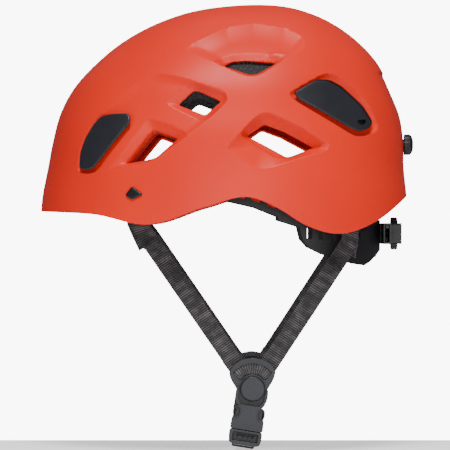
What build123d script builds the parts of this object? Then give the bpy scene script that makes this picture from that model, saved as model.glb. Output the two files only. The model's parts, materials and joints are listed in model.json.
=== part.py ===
from build123d import *
from functools import lru_cache
import math
import os

os.makedirs("parts", exist_ok=True)

# A climbing helmet, in millimetres. +Z is up, the brim points to -X, the wearer's left is -Y.
# The origin is the middle of the head opening, level with the brim.

# ---- shell
SHELL_LENGTH = 280.0
SHELL_WIDTH = 215.0
SHELL_HEIGHT = 157.0
# the length and height at which the side-view points below were drawn
DRAWN_LENGTH = 280.0
DRAWN_HEIGHT = 157.0
SHELL_WALL = 2.5
PLAN_EXPONENT = 2.25
# share of the height, then the reach to the front, the reach to the rear and the half width,
# each as a share of its size at the brim
DOME_LEVELS = [
    (-0.21, 1.01, 0.985, 0.985),
    (-0.07, 1.005, 0.995, 1.0),
    (0.06, 0.995, 0.995, 1.0),
    (0.20, 0.965, 0.98, 0.985),
    (0.34, 0.935, 0.975, 0.955),
    (0.47, 0.895, 0.955, 0.90),
    (0.60, 0.815, 0.90, 0.84),
    (0.72, 0.69, 0.83, 0.745),
    (0.84, 0.515, 0.70, 0.60),
    (0.925, 0.32, 0.555, 0.435),
    (0.975, 0.125, 0.41, 0.265),
]
APEX_SHIFT = 0.18
SECTION_POINTS = 20

# ---- liner and pads
LINER_THICKNESS = 16.0
LINER_GAP = 0.4
LINER_EDGE_Z = 76.0
PAD_GAP = 0.4
CROWN_PAD_THICKNESS = 5.0
BROW_PAD_THICKNESS = 4.0
NAPE_PAD_THICKNESS = 4.0
BROW_PAD_BACK = -45.0
BROW_PAD_Z = (4.5, 22.5)
NAPE_PAD_HALF = 38.0
NAPE_PAD_Z = (-37.0, -12.0)
CROWN_PAD_X = (-45.0, 62.0)
CROWN_PAD_Y = (-34.0, -12.0)

POST_RADIUS = 4.0
POST_PIN_RADIUS = 1.6
POST_PIN_LENGTH = 6.0

# ---- headlamp clips
CLIP_THICKNESS = 2.0
CLIP_GAP = 0.45
CLIP_FOOT_RADIUS = 3.0
CLIP_FOOT_CLEARANCE = 0.7
CLIP_FOOT_DEPTH = 4.0
CLIP_CORNER = 1.8

# ---- rear stud
STUD_RADIUS = 8.2
STUD_HEIGHT = 6.5
STUD_STEM_RADIUS = 3.0
STUD_Z = 50.0
STEM_CLEARANCE = 0.05

# ---- headband and nape cradle
BAND_GAP_SIDE = 33.5
BAND_GAP_FRONT = 38.0
BAND_WALL = 2.0
ARM_CLEARANCE = 0.8
CRADLE_REAR_GAP = 21.0
ARM_END_X = 57.0
CRADLE_START_X = 40.0
FRONT_BEND_X = -10.0
REAR_BEND_X = 50.0
BAND_EXPONENT = 2.3
ARC_STEPS = 12
BAND_TALL = 60.0
ARM_SLOTS = [(12, 11), (24, 8), (36, 3.5)]
CRADLE_SLOTS = [(63.5, -17, 4, 10), (71.5, -18, 3.5, 9), (82, -20, 3, 7), (92, -28, 9, 5)]

# ---- fit adjuster
RACK_LENGTH = 33.0
TOOTH_WIDTH = 0.6
TOOTH_CLEARANCE = 0.35
PINION_TOOTH = 1.1
RACK_HEIGHT = 2.0
RACK_DEPTH = 2.4
PINION_PITCH_RADIUS = 3.2
PINION_TEETH = 12
YOKE_GAP = 0.9
YOKE_WALL = 2.0
YOKE_HALF_HEIGHT = 8.0
HOUSING_HALF_WIDTH = 34.0
HOUSING_HEIGHT = 16.0
HOUSING_WALL = 1.6
SIDE_BAND_START = 84.0
SIDE_BAND_WALL = 1.3
SIDE_BAND_GAP = 0.3
SIDE_BAND_SLOT = 3.4
SLEEVE_Y = 46.0
SLEEVE_THICKNESS = 4.2
RUN_CLEARANCE = 0.35
SHAFT_CLEARANCE = 0.08
FIT_Z = -18.0
WHEEL_GROOVE_RADIUS = 0.7
LEAF_THICKNESS = 0.5
LEAF_LENGTH = 5.2
LEAF_WIDTH = 2.5
WHEEL_RADIUS = 12.4
WHEEL_THICKNESS = 5.0
WHEEL_RIBS = 28
WHEEL_GAP = 0.8
AXLE_RADIUS = 1.8
RACK_TRAVEL = 8.5

# ---- straps
WEB_WIDTH = 13.0
WEB_THICKNESS = 1.6
WEB_BAR_GAP = 0.4
WEB_PLATE_GAP = 1.2
WEB_SLOT_CLEARANCE = 0.7
WEB_FOOT_SPREAD = 9.5
STRAP_Y = 73.0
STRAP_AXIS_Z = 4.0
HANGER_BAR_RADIUS = 1.5
HANGER_PLATE = 2.0
LUG_HALF = 3.0
HANGER_REACH = 5.0
FRONT_LUG_CLEARANCE = 3.8
REAR_LUG_CLEARANCE = 0.8
LUG_WALL = 1.8
FRONT_ANCHOR_X = -66.0
REAR_ANCHOR_X = 94.0
REAR_BEND_Z = -26.0
PLUG_Z = 12.0
PLUG_STEM_RADIUS = 2.6
PLUG_CAP_HEIGHT = 1.8
PLUG_CAP_REACH = 6.0
# middle, then the corners of the rounded cap about it, then the corner radius
PLUG_CAP = ((-66.5, 12.0), [(-5.8, -1.2), (-0.9, 4.3), (6.1, -1.3), (-1.2, -4.2)], 1.5)

# ---- divider and buckle, measured from the pivot button
BUTTON_X = 21.0
BUTTON_Z = -133.5
DIVIDER_Y = 66.0
DIVIDER_PLATE = 3.4
BUTTON_RADIUS = 9.4
BUTTON_PROUD = 4.4
DIVIDER_SLOT_RISE = 15.5
DIVIDER_SLOT_WIDTH = 3.2
BUCKLE_LEAN = 9.0
NECK_RING_WALL = 2.5
NECK_CLEARANCE = 0.35
NECK_RING_DEPTH = 3.2
BUCKLE_HALF_WIDTH = 12.2
BUCKLE_DEPTH = 9.0
BUCKLE_TOP = 12.6
BUCKLE_JOIN = 28.0
BUCKLE_BOTTOM = 42.5
BUCKLE_WALL = 1.5
PRONG_WIDTH = 3.4
PRONG_DEPTH = 4.6
PRONG_TOP = 14.6
BUCKLE_CLEARANCE = 0.35
WINDOW_TOP = 14.5
WINDOW_BOTTOM = 24.5
MALE_SLOT_TOP = 33.0
MALE_SLOT_BOTTOM = 38.5
TONGUE_TOP = 18.0
HANGER_SLOT_TOP = 17.5
HANGER_SLOT_BOTTOM = 22.5
DIVIDER_HUB_RADIUS = 10.5
BUTTON_STEM_RADIUS = 2.5
KEEPER_Y = -30.0
CHIN_SAG = 44.0
HEADBAND_POST = (-20.0, 17.0)

FRONT_REACH = SHELL_LENGTH / 2
REAR_REACH = SHELL_LENGTH / 2
HALF_WIDTH = SHELL_WIDTH / 2


def save(node, name):
    node.label = name
    export_step(node, f"parts/{name}.step")


def mirrored(solid):
    return solid.mirror(Plane.XZ)


# ---- the dome: every layer of the helmet is the same form, inset by its own amount
def dome_section(level, inset):
    share, front, rear, width = level
    front_x = -(FRONT_REACH * front - inset)
    rear_x = REAR_REACH * rear - inset
    centre, half_length = (front_x + rear_x) / 2, (rear_x - front_x) / 2
    half_width = HALF_WIDTH * width - inset
    z = share * (SHELL_HEIGHT - inset)
    points = []
    for step in range(SECTION_POINTS):
        turn = 2 * math.pi * step / SECTION_POINTS
        c, s = math.cos(turn), math.sin(turn)
        reach = (abs(c) ** PLAN_EXPONENT + abs(s) ** PLAN_EXPONENT) ** (-1 / PLAN_EXPONENT)
        points.append((centre + half_length * reach * c, half_width * reach * s, z))
    return Wire([Edge.make_spline([Vector(*p) for p in points], periodic=True)])


@lru_cache
def dome(inset):
    sections = [dome_section(level, inset) for level in DOME_LEVELS]
    apex = Vertex(APEX_SHIFT * FRONT_REACH, 0, SHELL_HEIGHT - inset)
    return Solid.make_loft(sections + [apex])


def half_width_at(x, z, inset=0.0):
    """Half width of the dome at a point of its side view, by the same form."""
    share = z / (SHELL_HEIGHT - inset)
    for low, high in zip(DOME_LEVELS, DOME_LEVELS[1:]):
        if low[0] <= share <= high[0]:
            t = (share - low[0]) / (high[0] - low[0])
            front, rear, width = [a + t * (b - a) for a, b in zip(low[1:], high[1:])]
    front_x = -(FRONT_REACH * front - inset)
    rear_x = REAR_REACH * rear - inset
    u = abs(x - (front_x + rear_x) / 2) / ((rear_x - front_x) / 2)
    return (HALF_WIDTH * width - inset) * (1 - u ** PLAN_EXPONENT) ** (1 / PLAN_EXPONENT)


# ---- outlines in side view are given from a place on the shell, in millimetres
def place(x, z):
    """A point of the side view that moves with the shell's length and height."""
    return x * SHELL_LENGTH / DRAWN_LENGTH, z * SHELL_HEIGHT / DRAWN_HEIGHT


def outline(centre, points, corner):
    cx, cz = place(*centre)
    face = make_face(Polyline(*[(cx + x, cz + z) for x, z in points], close=True))
    return fillet(face.vertices(), corner)


def prism(face, y_from, y_to):
    """The side-view face, drawn in X and Z, pushed from y_from to y_to."""
    moved = Plane.XZ * face
    return extrude(Pos(0, y_from, 0) * moved, amount=y_to - y_from, dir=(0, 1, 0))


VENTS = {
    "front": ((-55, 47), [(-21, -12.5), (0.5, 14), (20, 6.5), (3, -8), (-5, -10)], 2.2),
    "upper": ((-18, 80), [(-17, -1.3), (-5.5, 9.6), (-1.5, 9.3), (15.5, 1.2), (3.5, -9)], 2.2),
    "side": ((43, 53), [(-26, 3.5), (-12.5, 13), (3.5, 7), (26.5, -6), (7, -13.2), (4, -13)], 2.2),
    "top": ((19, 108), [(-19.5, 1.2), (-13, 5), (-2.5, 5.6), (20, 3.6), (6, -5), (0, -5.8)], 1.6),
}
FRONT_CLIP = ((-88, 50), [(-19, -20.5), (-18.5, -8), (-14.5, 3), (-8.5, 13), (-3, 19), (5.5, 20.7),
                          (18, 20.7), (19.5, 14.5), (5.5, -2), (-5, -15.5), (-9.5, -20.5)], CLIP_CORNER)
REAR_CLIP = ((80, 77), [(-29.5, 9), (-14.5, 17.7), (-4.5, 18), (5, 13), (21, -1.5), (28, -12.5),
                        (27.5, -16.5), (20, -19.3), (13.5, -17.5), (-8.5, -5), (-25.5, 4)], CLIP_CORNER)
FRONT_CLIP_FOOT = (-82, 66)
REAR_CLIP_FOOT = (56.5, 84.5)


def rim_cutter():
    """Everything above the rim line: low at the temples and ears, arched between them."""
    line = [(-142, -1), (-95, -4), (-57, -11.3), (-14, 1.5), (19, 8.8), (40, 0.5), (60, -11.5),
            (83, -18), (112, -9.5), (142, 13)]
    spots = [place(x, z) for x, z in line]
    rim = Spline(*[(x, z) for x, z in spots])
    top = SHELL_HEIGHT * 1.2
    box = Polyline(spots[-1], (spots[-1][0], top), (spots[0][0], top), spots[0])
    return prism(make_face(rim + box), -SHELL_WIDTH, SHELL_WIDTH)


def side_prism(spec, both=True):
    return prism(outline(*spec), -SHELL_WIDTH, SHELL_WIDTH if both else 0)


def surface_normal(x, z):
    step = 2.0
    slope_x = (half_width_at(x + step, z) - half_width_at(x - step, z)) / (2 * step)
    slope_z = (half_width_at(x, z + step) - half_width_at(x, z - step)) / (2 * step)
    return Vector(-slope_x, -1, -slope_z).normalized()


def foot(spot, radius, out, depth):
    """A short round foot through the left wall of the shell, square to it."""
    x, z = place(*spot)
    normal = surface_normal(x, z)
    start = Vector(x, -half_width_at(x, z), z) + normal * out
    return Solid.make_cylinder(radius, out + depth, Plane(start, z_dir=-normal))


def make_shell():
    body = (dome(0) - dome(SHELL_WALL)) & rim_cutter()
    for spec in VENTS.values():
        body -= side_prism(spec)
    for spot in (FRONT_CLIP_FOOT, REAR_CLIP_FOOT):
        hole = foot(spot, CLIP_FOOT_RADIUS + CLIP_FOOT_CLEARANCE, 6, 10)
        body -= hole
        body -= mirrored(hole)
    body -= stud_stem(STEM_CLEARANCE)
    for side in (-1, 1):
        body -= plug_stem(side, STEM_CLEARANCE)
    return body.solids().sort_by(SortBy.VOLUME)[-1]


def make_liner():
    outer = dome(SHELL_WALL + LINER_GAP)
    inner = dome(SHELL_WALL + LINER_GAP + LINER_THICKNESS)
    _, edge = place(0, LINER_EDGE_Z)
    above = Pos(0, 0, edge + SHELL_HEIGHT) * Box(2 * SHELL_LENGTH, 2 * SHELL_WIDTH, 2 * SHELL_HEIGHT)
    body = (outer - inner) & above
    for name in ("upper", "top"):
        body -= side_prism(VENTS[name])
    for spot in (FRONT_CLIP_FOOT, REAR_CLIP_FOOT):
        pocket = foot(spot, CLIP_FOOT_RADIUS + CLIP_FOOT_CLEARANCE + 1, 6, 12)
        body -= pocket
        body -= mirrored(pocket)
    return body.solids().sort_by(SortBy.VOLUME)[-1]


def make_clip(spec, foot_spot):
    """A clip on the left side: a plate that follows the dome just off the shell, on one foot."""
    plate = dome(-CLIP_GAP - CLIP_THICKNESS) - dome(-CLIP_GAP)
    plate = plate & side_prism(spec, both=False)
    peg = foot(foot_spot, CLIP_FOOT_RADIUS, CLIP_GAP + CLIP_THICKNESS / 2, CLIP_FOOT_DEPTH)
    return (plate + peg).solids().sort_by(SortBy.VOLUME)[-1]


# ---- rear stud
def stud_stem(extra=0.0):
    return Pos(rear_wall_x(STUD_Z) - 6, 0, place(0, STUD_Z)[1]) * Rot(0, 90, 0) * Cylinder(
        STUD_STEM_RADIUS + extra, 12, align=(Align.CENTER, Align.CENTER, Align.MIN))


def rear_wall_x(z):
    share = z / DRAWN_HEIGHT
    for low, high in zip(DOME_LEVELS, DOME_LEVELS[1:]):
        if low[0] <= share <= high[0]:
            t = (share - low[0]) / (high[0] - low[0])
            return REAR_REACH * (low[2] + t * (high[2] - low[2]))


def make_stud():
    seat = rear_wall_x(STUD_Z) + 0.3
    lift = place(0, STUD_Z)[1]
    cap = Pos(seat, 0, lift) * Rot(0, 90, 0) * Cylinder(
        STUD_RADIUS, STUD_HEIGHT, align=(Align.CENTER, Align.CENTER, Align.MIN))
    cap = cap - dome(0.0)
    rim = cap.edges().filter_by(GeomType.CIRCLE).sort_by(Axis.X)[-1]
    cap = fillet([rim], 2.5)
    return (cap + stud_stem() - dome(SHELL_WALL + 6)).solids().sort_by(SortBy.VOLUME)[-1]


# ---- headband and cradle: a ring in plan, cut to shape in side view
BAND_HALF = HALF_WIDTH - BAND_GAP_SIDE
BAND_FRONT = FRONT_REACH - BAND_GAP_FRONT
CRADLE_REAR = REAR_REACH - CRADLE_REAR_GAP


def half_loop(bend, reach, half):
    """Half of a band in plan, from one side round its end to the other side."""
    points = []
    for step in range(ARC_STEPS + 1):
        turn = math.pi * step / ARC_STEPS - math.pi / 2
        c, s = math.cos(turn), math.sin(turn)
        grow = (abs(c) ** BAND_EXPONENT + abs(s) ** BAND_EXPONENT) ** (-1 / BAND_EXPONENT)
        points.append((bend + reach * grow * c, half * grow * s))
    return points


def plan_loop(front, rear, half):
    rear_half = half_loop(REAR_BEND_X, rear - REAR_BEND_X, half)
    front_half = half_loop(FRONT_BEND_X, -front - FRONT_BEND_X, half)
    sides = [Line(front_half[0], rear_half[0]), Line(rear_half[-1], front_half[-1])]
    ends = [Spline(*half, tangents=[(sign, 0), (-sign, 0)])
            for half, sign in ((rear_half, 1), (front_half, -1))]
    return make_face(ends + sides)


def plan_ring(front, rear, half, wall):
    """A standing strip: round at the front and rear, straight and parallel at the sides."""
    face = plan_loop(front, rear, half) - plan_loop(front - wall, rear - wall, half - wall)
    return extrude(Pos(0, 0, -BAND_TALL) * face, amount=2 * BAND_TALL)


def make_headband():
    ring = plan_ring(BAND_FRONT, CRADLE_REAR, BAND_HALF, BAND_WALL)
    reach = BAND_FRONT + 5
    shape = Polyline((-reach, 2), (-60, 2), (-20, 7), (3, 6.3), (22, 2), (ARM_END_X, -12),
                     (ARM_END_X, 5), (20, 22), (-20, 26), (-reach, 24), close=True)
    band = ring & prism(make_face(shape), -SHELL_WIDTH, SHELL_WIDTH)
    for x, z in ARM_SLOTS:
        band -= Pos(x, 0, z) * Rot(0, 25, 0) * Box(8, SHELL_WIDTH, 4)
    for side in (-1, 1):
        x, z = HEADBAND_POST
        band -= Pos(x, side * BAND_HALF, z) * Rot(90, 0, 0) * Cylinder(1.6 + STEM_CLEARANCE, 8)
    return band.solids().sort_by(SortBy.VOLUME)[-1]


def make_cradle():
    """The nape cradle: its arms slide inside the headband's arms."""
    inset = BAND_WALL + ARM_CLEARANCE
    ring = plan_ring(BAND_FRONT - inset, CRADLE_REAR, BAND_HALF - inset, BAND_WALL)
    reach = CRADLE_REAR + 3
    shape = Polyline((CRADLE_START_X, -8), (56, -13), (58.5, -23), (64, -29), (75, -34.5), (95, -40.5),
                     (105, -42), (110, -39), (reach, -27), (reach, -8), (88, -6), (56, 2),
                     (CRADLE_START_X, 4), close=True)
    cradle = ring & prism(make_face(shape), -SHELL_WIDTH, SHELL_WIDTH)
    for x, z, width, height in CRADLE_SLOTS:
        cradle -= Pos(x, 0, z) * Box(width, SHELL_WIDTH, height)
    return cradle.solids().sort_by(SortBy.VOLUME)[-1]


# ---- fit adjuster: two racks above and below a pinion, between two half housings
FIT_X = CRADLE_REAR + 3.0


def block(x0, x1, y0, y1, z0, z1):
    return Pos((x0 + x1) / 2, (y0 + y1) / 2, (z0 + z1) / 2) * Box(x1 - x0, y1 - y0, z1 - z0)


RACK_X0 = FIT_X
RACK_X1 = FIT_X + RACK_DEPTH
HOUSE_X0 = RACK_X0 - RUN_CLEARANCE - HOUSING_WALL
HOUSE_X1 = RACK_X1 + RUN_CLEARANCE + HOUSING_WALL
RACK_PITCH_Z = PINION_PITCH_RADIUS
TOOTH = 0.9


def make_rack(side):
    """The left rack runs above the pinion, the right one below it."""
    up = 1 if side < 0 else -1
    inner = RACK_PITCH_Z + TOOTH / 2 + TOOTH_CLEARANCE
    z0, z1 = sorted((FIT_Z + up * inner, FIT_Z + up * (inner + RACK_HEIGHT)))
    y0, y1 = sorted((side * RACK_LENGTH, -side * (RACK_TRAVEL + 4)))
    bar = block(RACK_X0, RACK_X1, y0, y1, z0, z1)
    pitch = 2 * math.pi * PINION_PITCH_RADIUS / PINION_TEETH
    count = int((RACK_TRAVEL + 3) / pitch)
    for i in range(-count, count + 1):
        edge = FIT_Z + up * inner
        z_low, z_high = sorted((edge, edge - up * TOOTH))
        y = (i + 0.5) * pitch
        bar += block(RACK_X0, RACK_X1, y - TOOTH_WIDTH / 2, y + TOOTH_WIDTH / 2, z_low, z_high)
    return bar.solids().sort_by(SortBy.VOLUME)[-1]


def make_pinion():
    plane = Plane((RACK_X0, 0, FIT_Z), z_dir=(1, 0, 0), x_dir=(0, 1, 0))
    core = Solid.make_cylinder(PINION_PITCH_RADIUS - TOOTH_WIDTH, RACK_DEPTH, plane)
    for i in range(PINION_TEETH):
        tooth = Pos(PINION_PITCH_RADIUS - 0.2, 0, RACK_DEPTH / 2) * Box(PINION_TOOTH, TOOTH_WIDTH, RACK_DEPTH)
        core += plane.location * Rot(0, 0, 360 / PINION_TEETH * i) * tooth
    bore = Solid.make_cylinder(AXLE_RADIUS, RACK_DEPTH, plane)
    return (core - bore).solids()[0]


WHEEL_X0 = HOUSE_X1 + WHEEL_GAP
WHEEL_X1 = WHEEL_X0 + WHEEL_THICKNESS
YOKE_X1 = WHEEL_X1 + WHEEL_GAP + YOKE_WALL
YOKE_REACH = WHEEL_RADIUS + YOKE_GAP + YOKE_WALL + 0.5


def axle_cylinder(radius, x0, x1):
    return Solid.make_cylinder(radius, x1 - x0, Plane((x0, 0, FIT_Z), z_dir=(1, 0, 0)))


def make_wheel():
    disc = axle_cylinder(WHEEL_RADIUS, WHEEL_X0, WHEEL_X1)
    disc = chamfer(disc.edges().filter_by(GeomType.CIRCLE), 0.6)
    for i in range(WHEEL_RIBS):
        turn = 2 * math.pi * i / WHEEL_RIBS
        y, z = WHEEL_RADIUS * math.cos(turn), FIT_Z + WHEEL_RADIUS * math.sin(turn)
        start = Plane((WHEEL_X0 - 1, y, z), z_dir=(1, 0, 0))
        disc -= Solid.make_cylinder(WHEEL_GROOVE_RADIUS, WHEEL_THICKNESS + 2, start)
    return (disc - axle_cylinder(AXLE_RADIUS, WHEEL_X0 - 1, WHEEL_X1 + 1)).solids()[0]


def make_axle():
    return axle_cylinder(AXLE_RADIUS, RACK_X0, YOKE_X1 - 0.6)


def make_housing():
    z0, z1 = FIT_Z - HOUSING_HEIGHT / 2, FIT_Z + HOUSING_HEIGHT / 2
    w = HOUSING_HALF_WIDTH
    inner = block(HOUSE_X0, RACK_X0 - RUN_CLEARANCE, -w, w, z0, z1)
    back = block(RACK_X0 - RUN_CLEARANCE, HOUSE_X1, -w, w, z0, z1)
    channel = block(RACK_X0 - 1, RACK_X1 + RUN_CLEARANCE, -w - 1, w + 1, z0 + HOUSING_WALL, z1 - HOUSING_WALL)
    sleeve = outside_cradle(0.4, SLEEVE_THICKNESS)
    for side in (-1, 1):
        y0, y1 = sorted((side * (w - 2), side * SLEEVE_Y))
        back += sleeve & block(60, HOUSE_X1, y0, y1, z0 + 0.5, z1 - 0.5)
    back -= block(HOUSE_X0 - HOUSING_HEIGHT, RACK_X0 - RUN_CLEARANCE, -w, w, z0, z1)
    back -= channel
    back -= axle_cylinder(AXLE_RADIUS + SHAFT_CLEARANCE, RACK_X1, HOUSE_X1 + 1)
    for side in (-1, 1):
        y0, y1 = sorted((side * (WHEEL_RADIUS + YOKE_GAP), side * YOKE_REACH))
        back += block(HOUSE_X1 - 0.5, YOKE_X1, y0, y1, z0 + 1, z1 - 1)
    bridge_z = (FIT_Z - YOKE_HALF_HEIGHT, FIT_Z + YOKE_HALF_HEIGHT)
    back += block(WHEEL_X1 + WHEEL_GAP, YOKE_X1, -YOKE_REACH, YOKE_REACH, *bridge_z)
    back -= axle_cylinder(AXLE_RADIUS + SHAFT_CLEARANCE, WHEEL_X1, YOKE_X1 - 0.5)
    return inner.solids()[0], back.solids().sort_by(SortBy.VOLUME)[-1]


def make_detent():
    """A leaf whose tip rests near the grooves of the wheel, on the back of the housing."""
    x0, y1 = HOUSE_X1 + STEM_CLEARANCE, WHEEL_RADIUS + 0.2
    z0 = FIT_Z + WHEEL_RADIUS / 3
    return block(x0, x0 + LEAF_THICKNESS, y1 - LEAF_LENGTH, y1, z0, z0 + LEAF_WIDTH)


def outside_cradle(gap, wall):
    """A strip that follows the outside of the cradle at the given gap."""
    reach = gap + wall
    inset = BAND_WALL + ARM_CLEARANCE
    return plan_ring(BAND_FRONT, CRADLE_REAR + reach, BAND_HALF - inset + reach, wall)


def make_side_band():
    """Left side band, from the housing's sleeve forward along the outside of the cradle."""
    front = SIDE_BAND_START
    shape = Polyline((front, -17), (front, -24.5), (CRADLE_REAR, -23), (CRADLE_REAR, -14), close=True)
    strip = prism(make_face(shape), -SHELL_WIDTH, -SLEEVE_Y - SIDE_BAND_GAP)
    band = outside_cradle(SIDE_BAND_GAP + 0.2, SIDE_BAND_WALL) & strip
    band -= Pos(front + 15, 0, FIT_Z - 1) * Box(5, 3 * SHELL_WIDTH, SIDE_BAND_SLOT)
    return band.solids().sort_by(SortBy.VOLUME)[-1]


# ---- anchors
def plug_stem(side, extra=0.0):
    wall = half_width_at(FRONT_ANCHOR_X, PLUG_Z)
    y0, y1 = sorted((side * (wall + 1), side * (STRAP_Y + HANGER_REACH - 0.5)))
    return Pos(FRONT_ANCHOR_X, (y0 + y1) / 2, PLUG_Z) * Rot(90, 0, 0) * Cylinder(
        PLUG_STEM_RADIUS + extra, y1 - y0)


def make_plug(side):
    wall = half_width_at(FRONT_ANCHOR_X, PLUG_Z)
    cap = prism(outline(*PLUG_CAP), side * (wall - PLUG_CAP_REACH), side * (wall + PLUG_CAP_REACH))
    cap = (cap & dome(-PLUG_CAP_HEIGHT)) - dome(-STEM_CLEARANCE)
    return (cap + plug_stem(side)).solids().sort_by(SortBy.VOLUME)[-1]


def lugs_and_bar(x, half):
    """The two lugs of a strap hanger, half apart each way, and the bar between them."""
    y0, y1 = -STRAP_Y - HANGER_REACH - 0.5, -STRAP_Y + HANGER_BAR_RADIUS + 1
    z0, z1 = STRAP_AXIS_Z - LUG_HALF, STRAP_AXIS_Z + LUG_HALF
    lugs = block(x - half - LUG_WALL, x - half, y0, y1, z0, z1)
    lugs += block(x + half, x + half + LUG_WALL, y0, y1, z0, z1)
    bar = Pos(x, -STRAP_Y, STRAP_AXIS_Z) * Rot(0, 90, 0) * Cylinder(HANGER_BAR_RADIUS, 2 * half + 2)
    return lugs + bar


def make_front_hanger():
    """Left front hanger: a plate on the plug's stem, two lugs and a bar for the webbing."""
    x, gap = FRONT_ANCHOR_X, WEB_WIDTH / 2 + FRONT_LUG_CLEARANCE
    half = gap + LUG_WALL
    y = -STRAP_Y - HANGER_REACH
    plate = block(x - half, x + half, y - HANGER_PLATE, y, STRAP_AXIS_Z - LUG_HALF, PLUG_Z + 5)
    body = plate + lugs_and_bar(x, gap) - plug_stem(-1, STEM_CLEARANCE)
    return body.solids().sort_by(SortBy.VOLUME)[-1]


def make_rear_hanger():
    """Left rear hanger: a foot shaped to the inside of the shell, two lugs and a bar."""
    x, gap = REAR_ANCHOR_X, WEB_WIDTH / 2 + REAR_LUG_CLEARANCE
    half = gap + LUG_WALL
    y = -STRAP_Y - HANGER_REACH
    seat = block(x - half, x + half, -HALF_WIDTH, y + 0.5, STRAP_AXIS_Z - LUG_HALF, STRAP_AXIS_Z + LUG_HALF)
    body = (seat + lugs_and_bar(x, gap)) & dome(SHELL_WALL + 0.1)
    return body.solids().sort_by(SortBy.VOLUME)[-1]


# ---- webbing
def run(start, end):
    """A flat length of webbing from start to end."""
    a, b = Vector(*start), Vector(*end)
    along = (b - a).normalized()
    across = along.cross(Vector(0, 1, 0)).normalized()
    plane = Plane((a + b) / 2, x_dir=across, z_dir=along)
    return plane.location * Box(WEB_WIDTH, WEB_THICKNESS, (b - a).length)


def bar_loop(x):
    ring = Cylinder(HANGER_BAR_RADIUS + WEB_BAR_GAP + WEB_THICKNESS, WEB_WIDTH)
    ring -= Cylinder(HANGER_BAR_RADIUS + WEB_BAR_GAP, WEB_WIDTH)
    return Pos(x, -STRAP_Y, STRAP_AXIS_Z) * Rot(0, 90, 0) * ring


LOOP_FOOT_Z = STRAP_AXIS_Z - HANGER_BAR_RADIUS - WEB_BAR_GAP - 1
WEB_END_Y = -(DIVIDER_Y - DIVIDER_PLATE / 2 - WEB_PLATE_GAP - WEB_THICKNESS / 2)


def make_front_webbing():
    top = (FRONT_ANCHOR_X, -STRAP_Y, LOOP_FOOT_Z)
    turn = (FRONT_ANCHOR_X + 3.5, -STRAP_Y, LOOP_FOOT_Z - 3)
    foot_end = (BUTTON_X - WEB_FOOT_SPREAD, WEB_END_Y, BUTTON_Z + DIVIDER_SLOT_RISE)
    upper = run(top, (FRONT_ANCHOR_X + 0.8, -STRAP_Y, turn[2] - 5))
    return (bar_loop(FRONT_ANCHOR_X) + upper + run(turn, foot_end)).solids().sort_by(SortBy.VOLUME)[-1]


def make_rear_webbing():
    top = (REAR_ANCHOR_X, -STRAP_Y, LOOP_FOOT_Z)
    bend = (REAR_ANCHOR_X - 0.5, -STRAP_Y, REAR_BEND_Z)
    foot_end = (BUTTON_X + WEB_FOOT_SPREAD, WEB_END_Y, BUTTON_Z + DIVIDER_SLOT_RISE)
    upper = run(top, (bend[0], bend[1], bend[2] - 3))
    lower = run(bend, foot_end)
    return (bar_loop(REAR_ANCHOR_X) + upper + lower).solids().sort_by(SortBy.VOLUME)[-1]


# ---- dividers, drawn about the button and pushed to their place
def at_button(face, y0, y1):
    return Pos(BUTTON_X, 0, BUTTON_Z) * prism(face, y0, y1)


def make_divider():
    """Left divider: a fan-shaped plate with an arc slot."""
    arc = ThreePointArc((-17.8, 12), (0.2, 23.2), (17.2, 13))
    flank = Polyline((17.2, 13), (15.4, 7), (9.6, -3), (-10, -3), (-16, 7), (-17.8, 12))
    face = make_face(arc + flank) + Circle(DIVIDER_HUB_RADIUS)
    slot_line = ThreePointArc((-13.2, 11.3), (0, 18), (12.8, 12.6))
    face -= SlotArc(slot_line, DIVIDER_SLOT_WIDTH)
    half = DIVIDER_PLATE / 2
    plate = at_button(face, -DIVIDER_Y - half, -DIVIDER_Y + half)
    plate -= at_button(Circle(BUTTON_STEM_RADIUS + STEM_CLEARANCE), -DIVIDER_Y - 9, -DIVIDER_Y + 9)
    return plate.solids().sort_by(SortBy.VOLUME)[-1]


def make_button():
    """Left pivot button: a low drum outside the divider on a stem through it."""
    half = DIVIDER_PLATE / 2
    drum = at_button(Circle(BUTTON_RADIUS), -DIVIDER_Y - half - BUTTON_PROUD, -DIVIDER_Y - half - 0.05)
    front_edge = drum.edges().filter_by(GeomType.CIRCLE).sort_by(Axis.Y)[0]
    drum = fillet([front_edge], 1.4)
    stem = at_button(Circle(BUTTON_STEM_RADIUS), -DIVIDER_Y - half - 1, -DIVIDER_Y + half + 0.3)
    head = at_button(Circle(BUTTON_STEM_RADIUS + 1.8), -DIVIDER_Y + half + 0.1, -DIVIDER_Y + half + 1.1)
    return (drum + stem + head).solids()[0]


# ---- buckle, drawn plumb below the button and then leaned about it
def lean(solid):
    there = Pos(BUTTON_X, 0, BUTTON_Z)
    return there * Rot(0, BUCKLE_LEAN, 0) * there.inverse() * solid


RING_Y0 = -DIVIDER_Y - DIVIDER_PLATE / 2 - 0.3 - NECK_RING_DEPTH
RING_Y1 = RING_Y0 + NECK_RING_DEPTH
BUCKLE_Y = (RING_Y0 + RING_Y1) / 2
RING_INNER = BUTTON_RADIUS + NECK_CLEARANCE


def below(u0, u1, v0, v1, y0, y1):
    """A block given by how far it is across and below the button."""
    return block(BUTTON_X + u0, BUTTON_X + u1, y0, y1, BUTTON_Z - v1, BUTTON_Z - v0)


def neck_ring(half_neck):
    """The ring round the button, with a short neck down to the part that hangs from it."""
    ring = at_button(Circle(RING_INNER + NECK_RING_WALL) - Circle(RING_INNER), RING_Y0, RING_Y1)
    neck = below(-half_neck, half_neck, RING_INNER - 3, BUCKLE_TOP + 1, RING_Y0, RING_Y1)
    neck -= at_button(Circle(RING_INNER), RING_Y0 - 1, RING_Y1 + 1)
    return ring + neck


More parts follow.
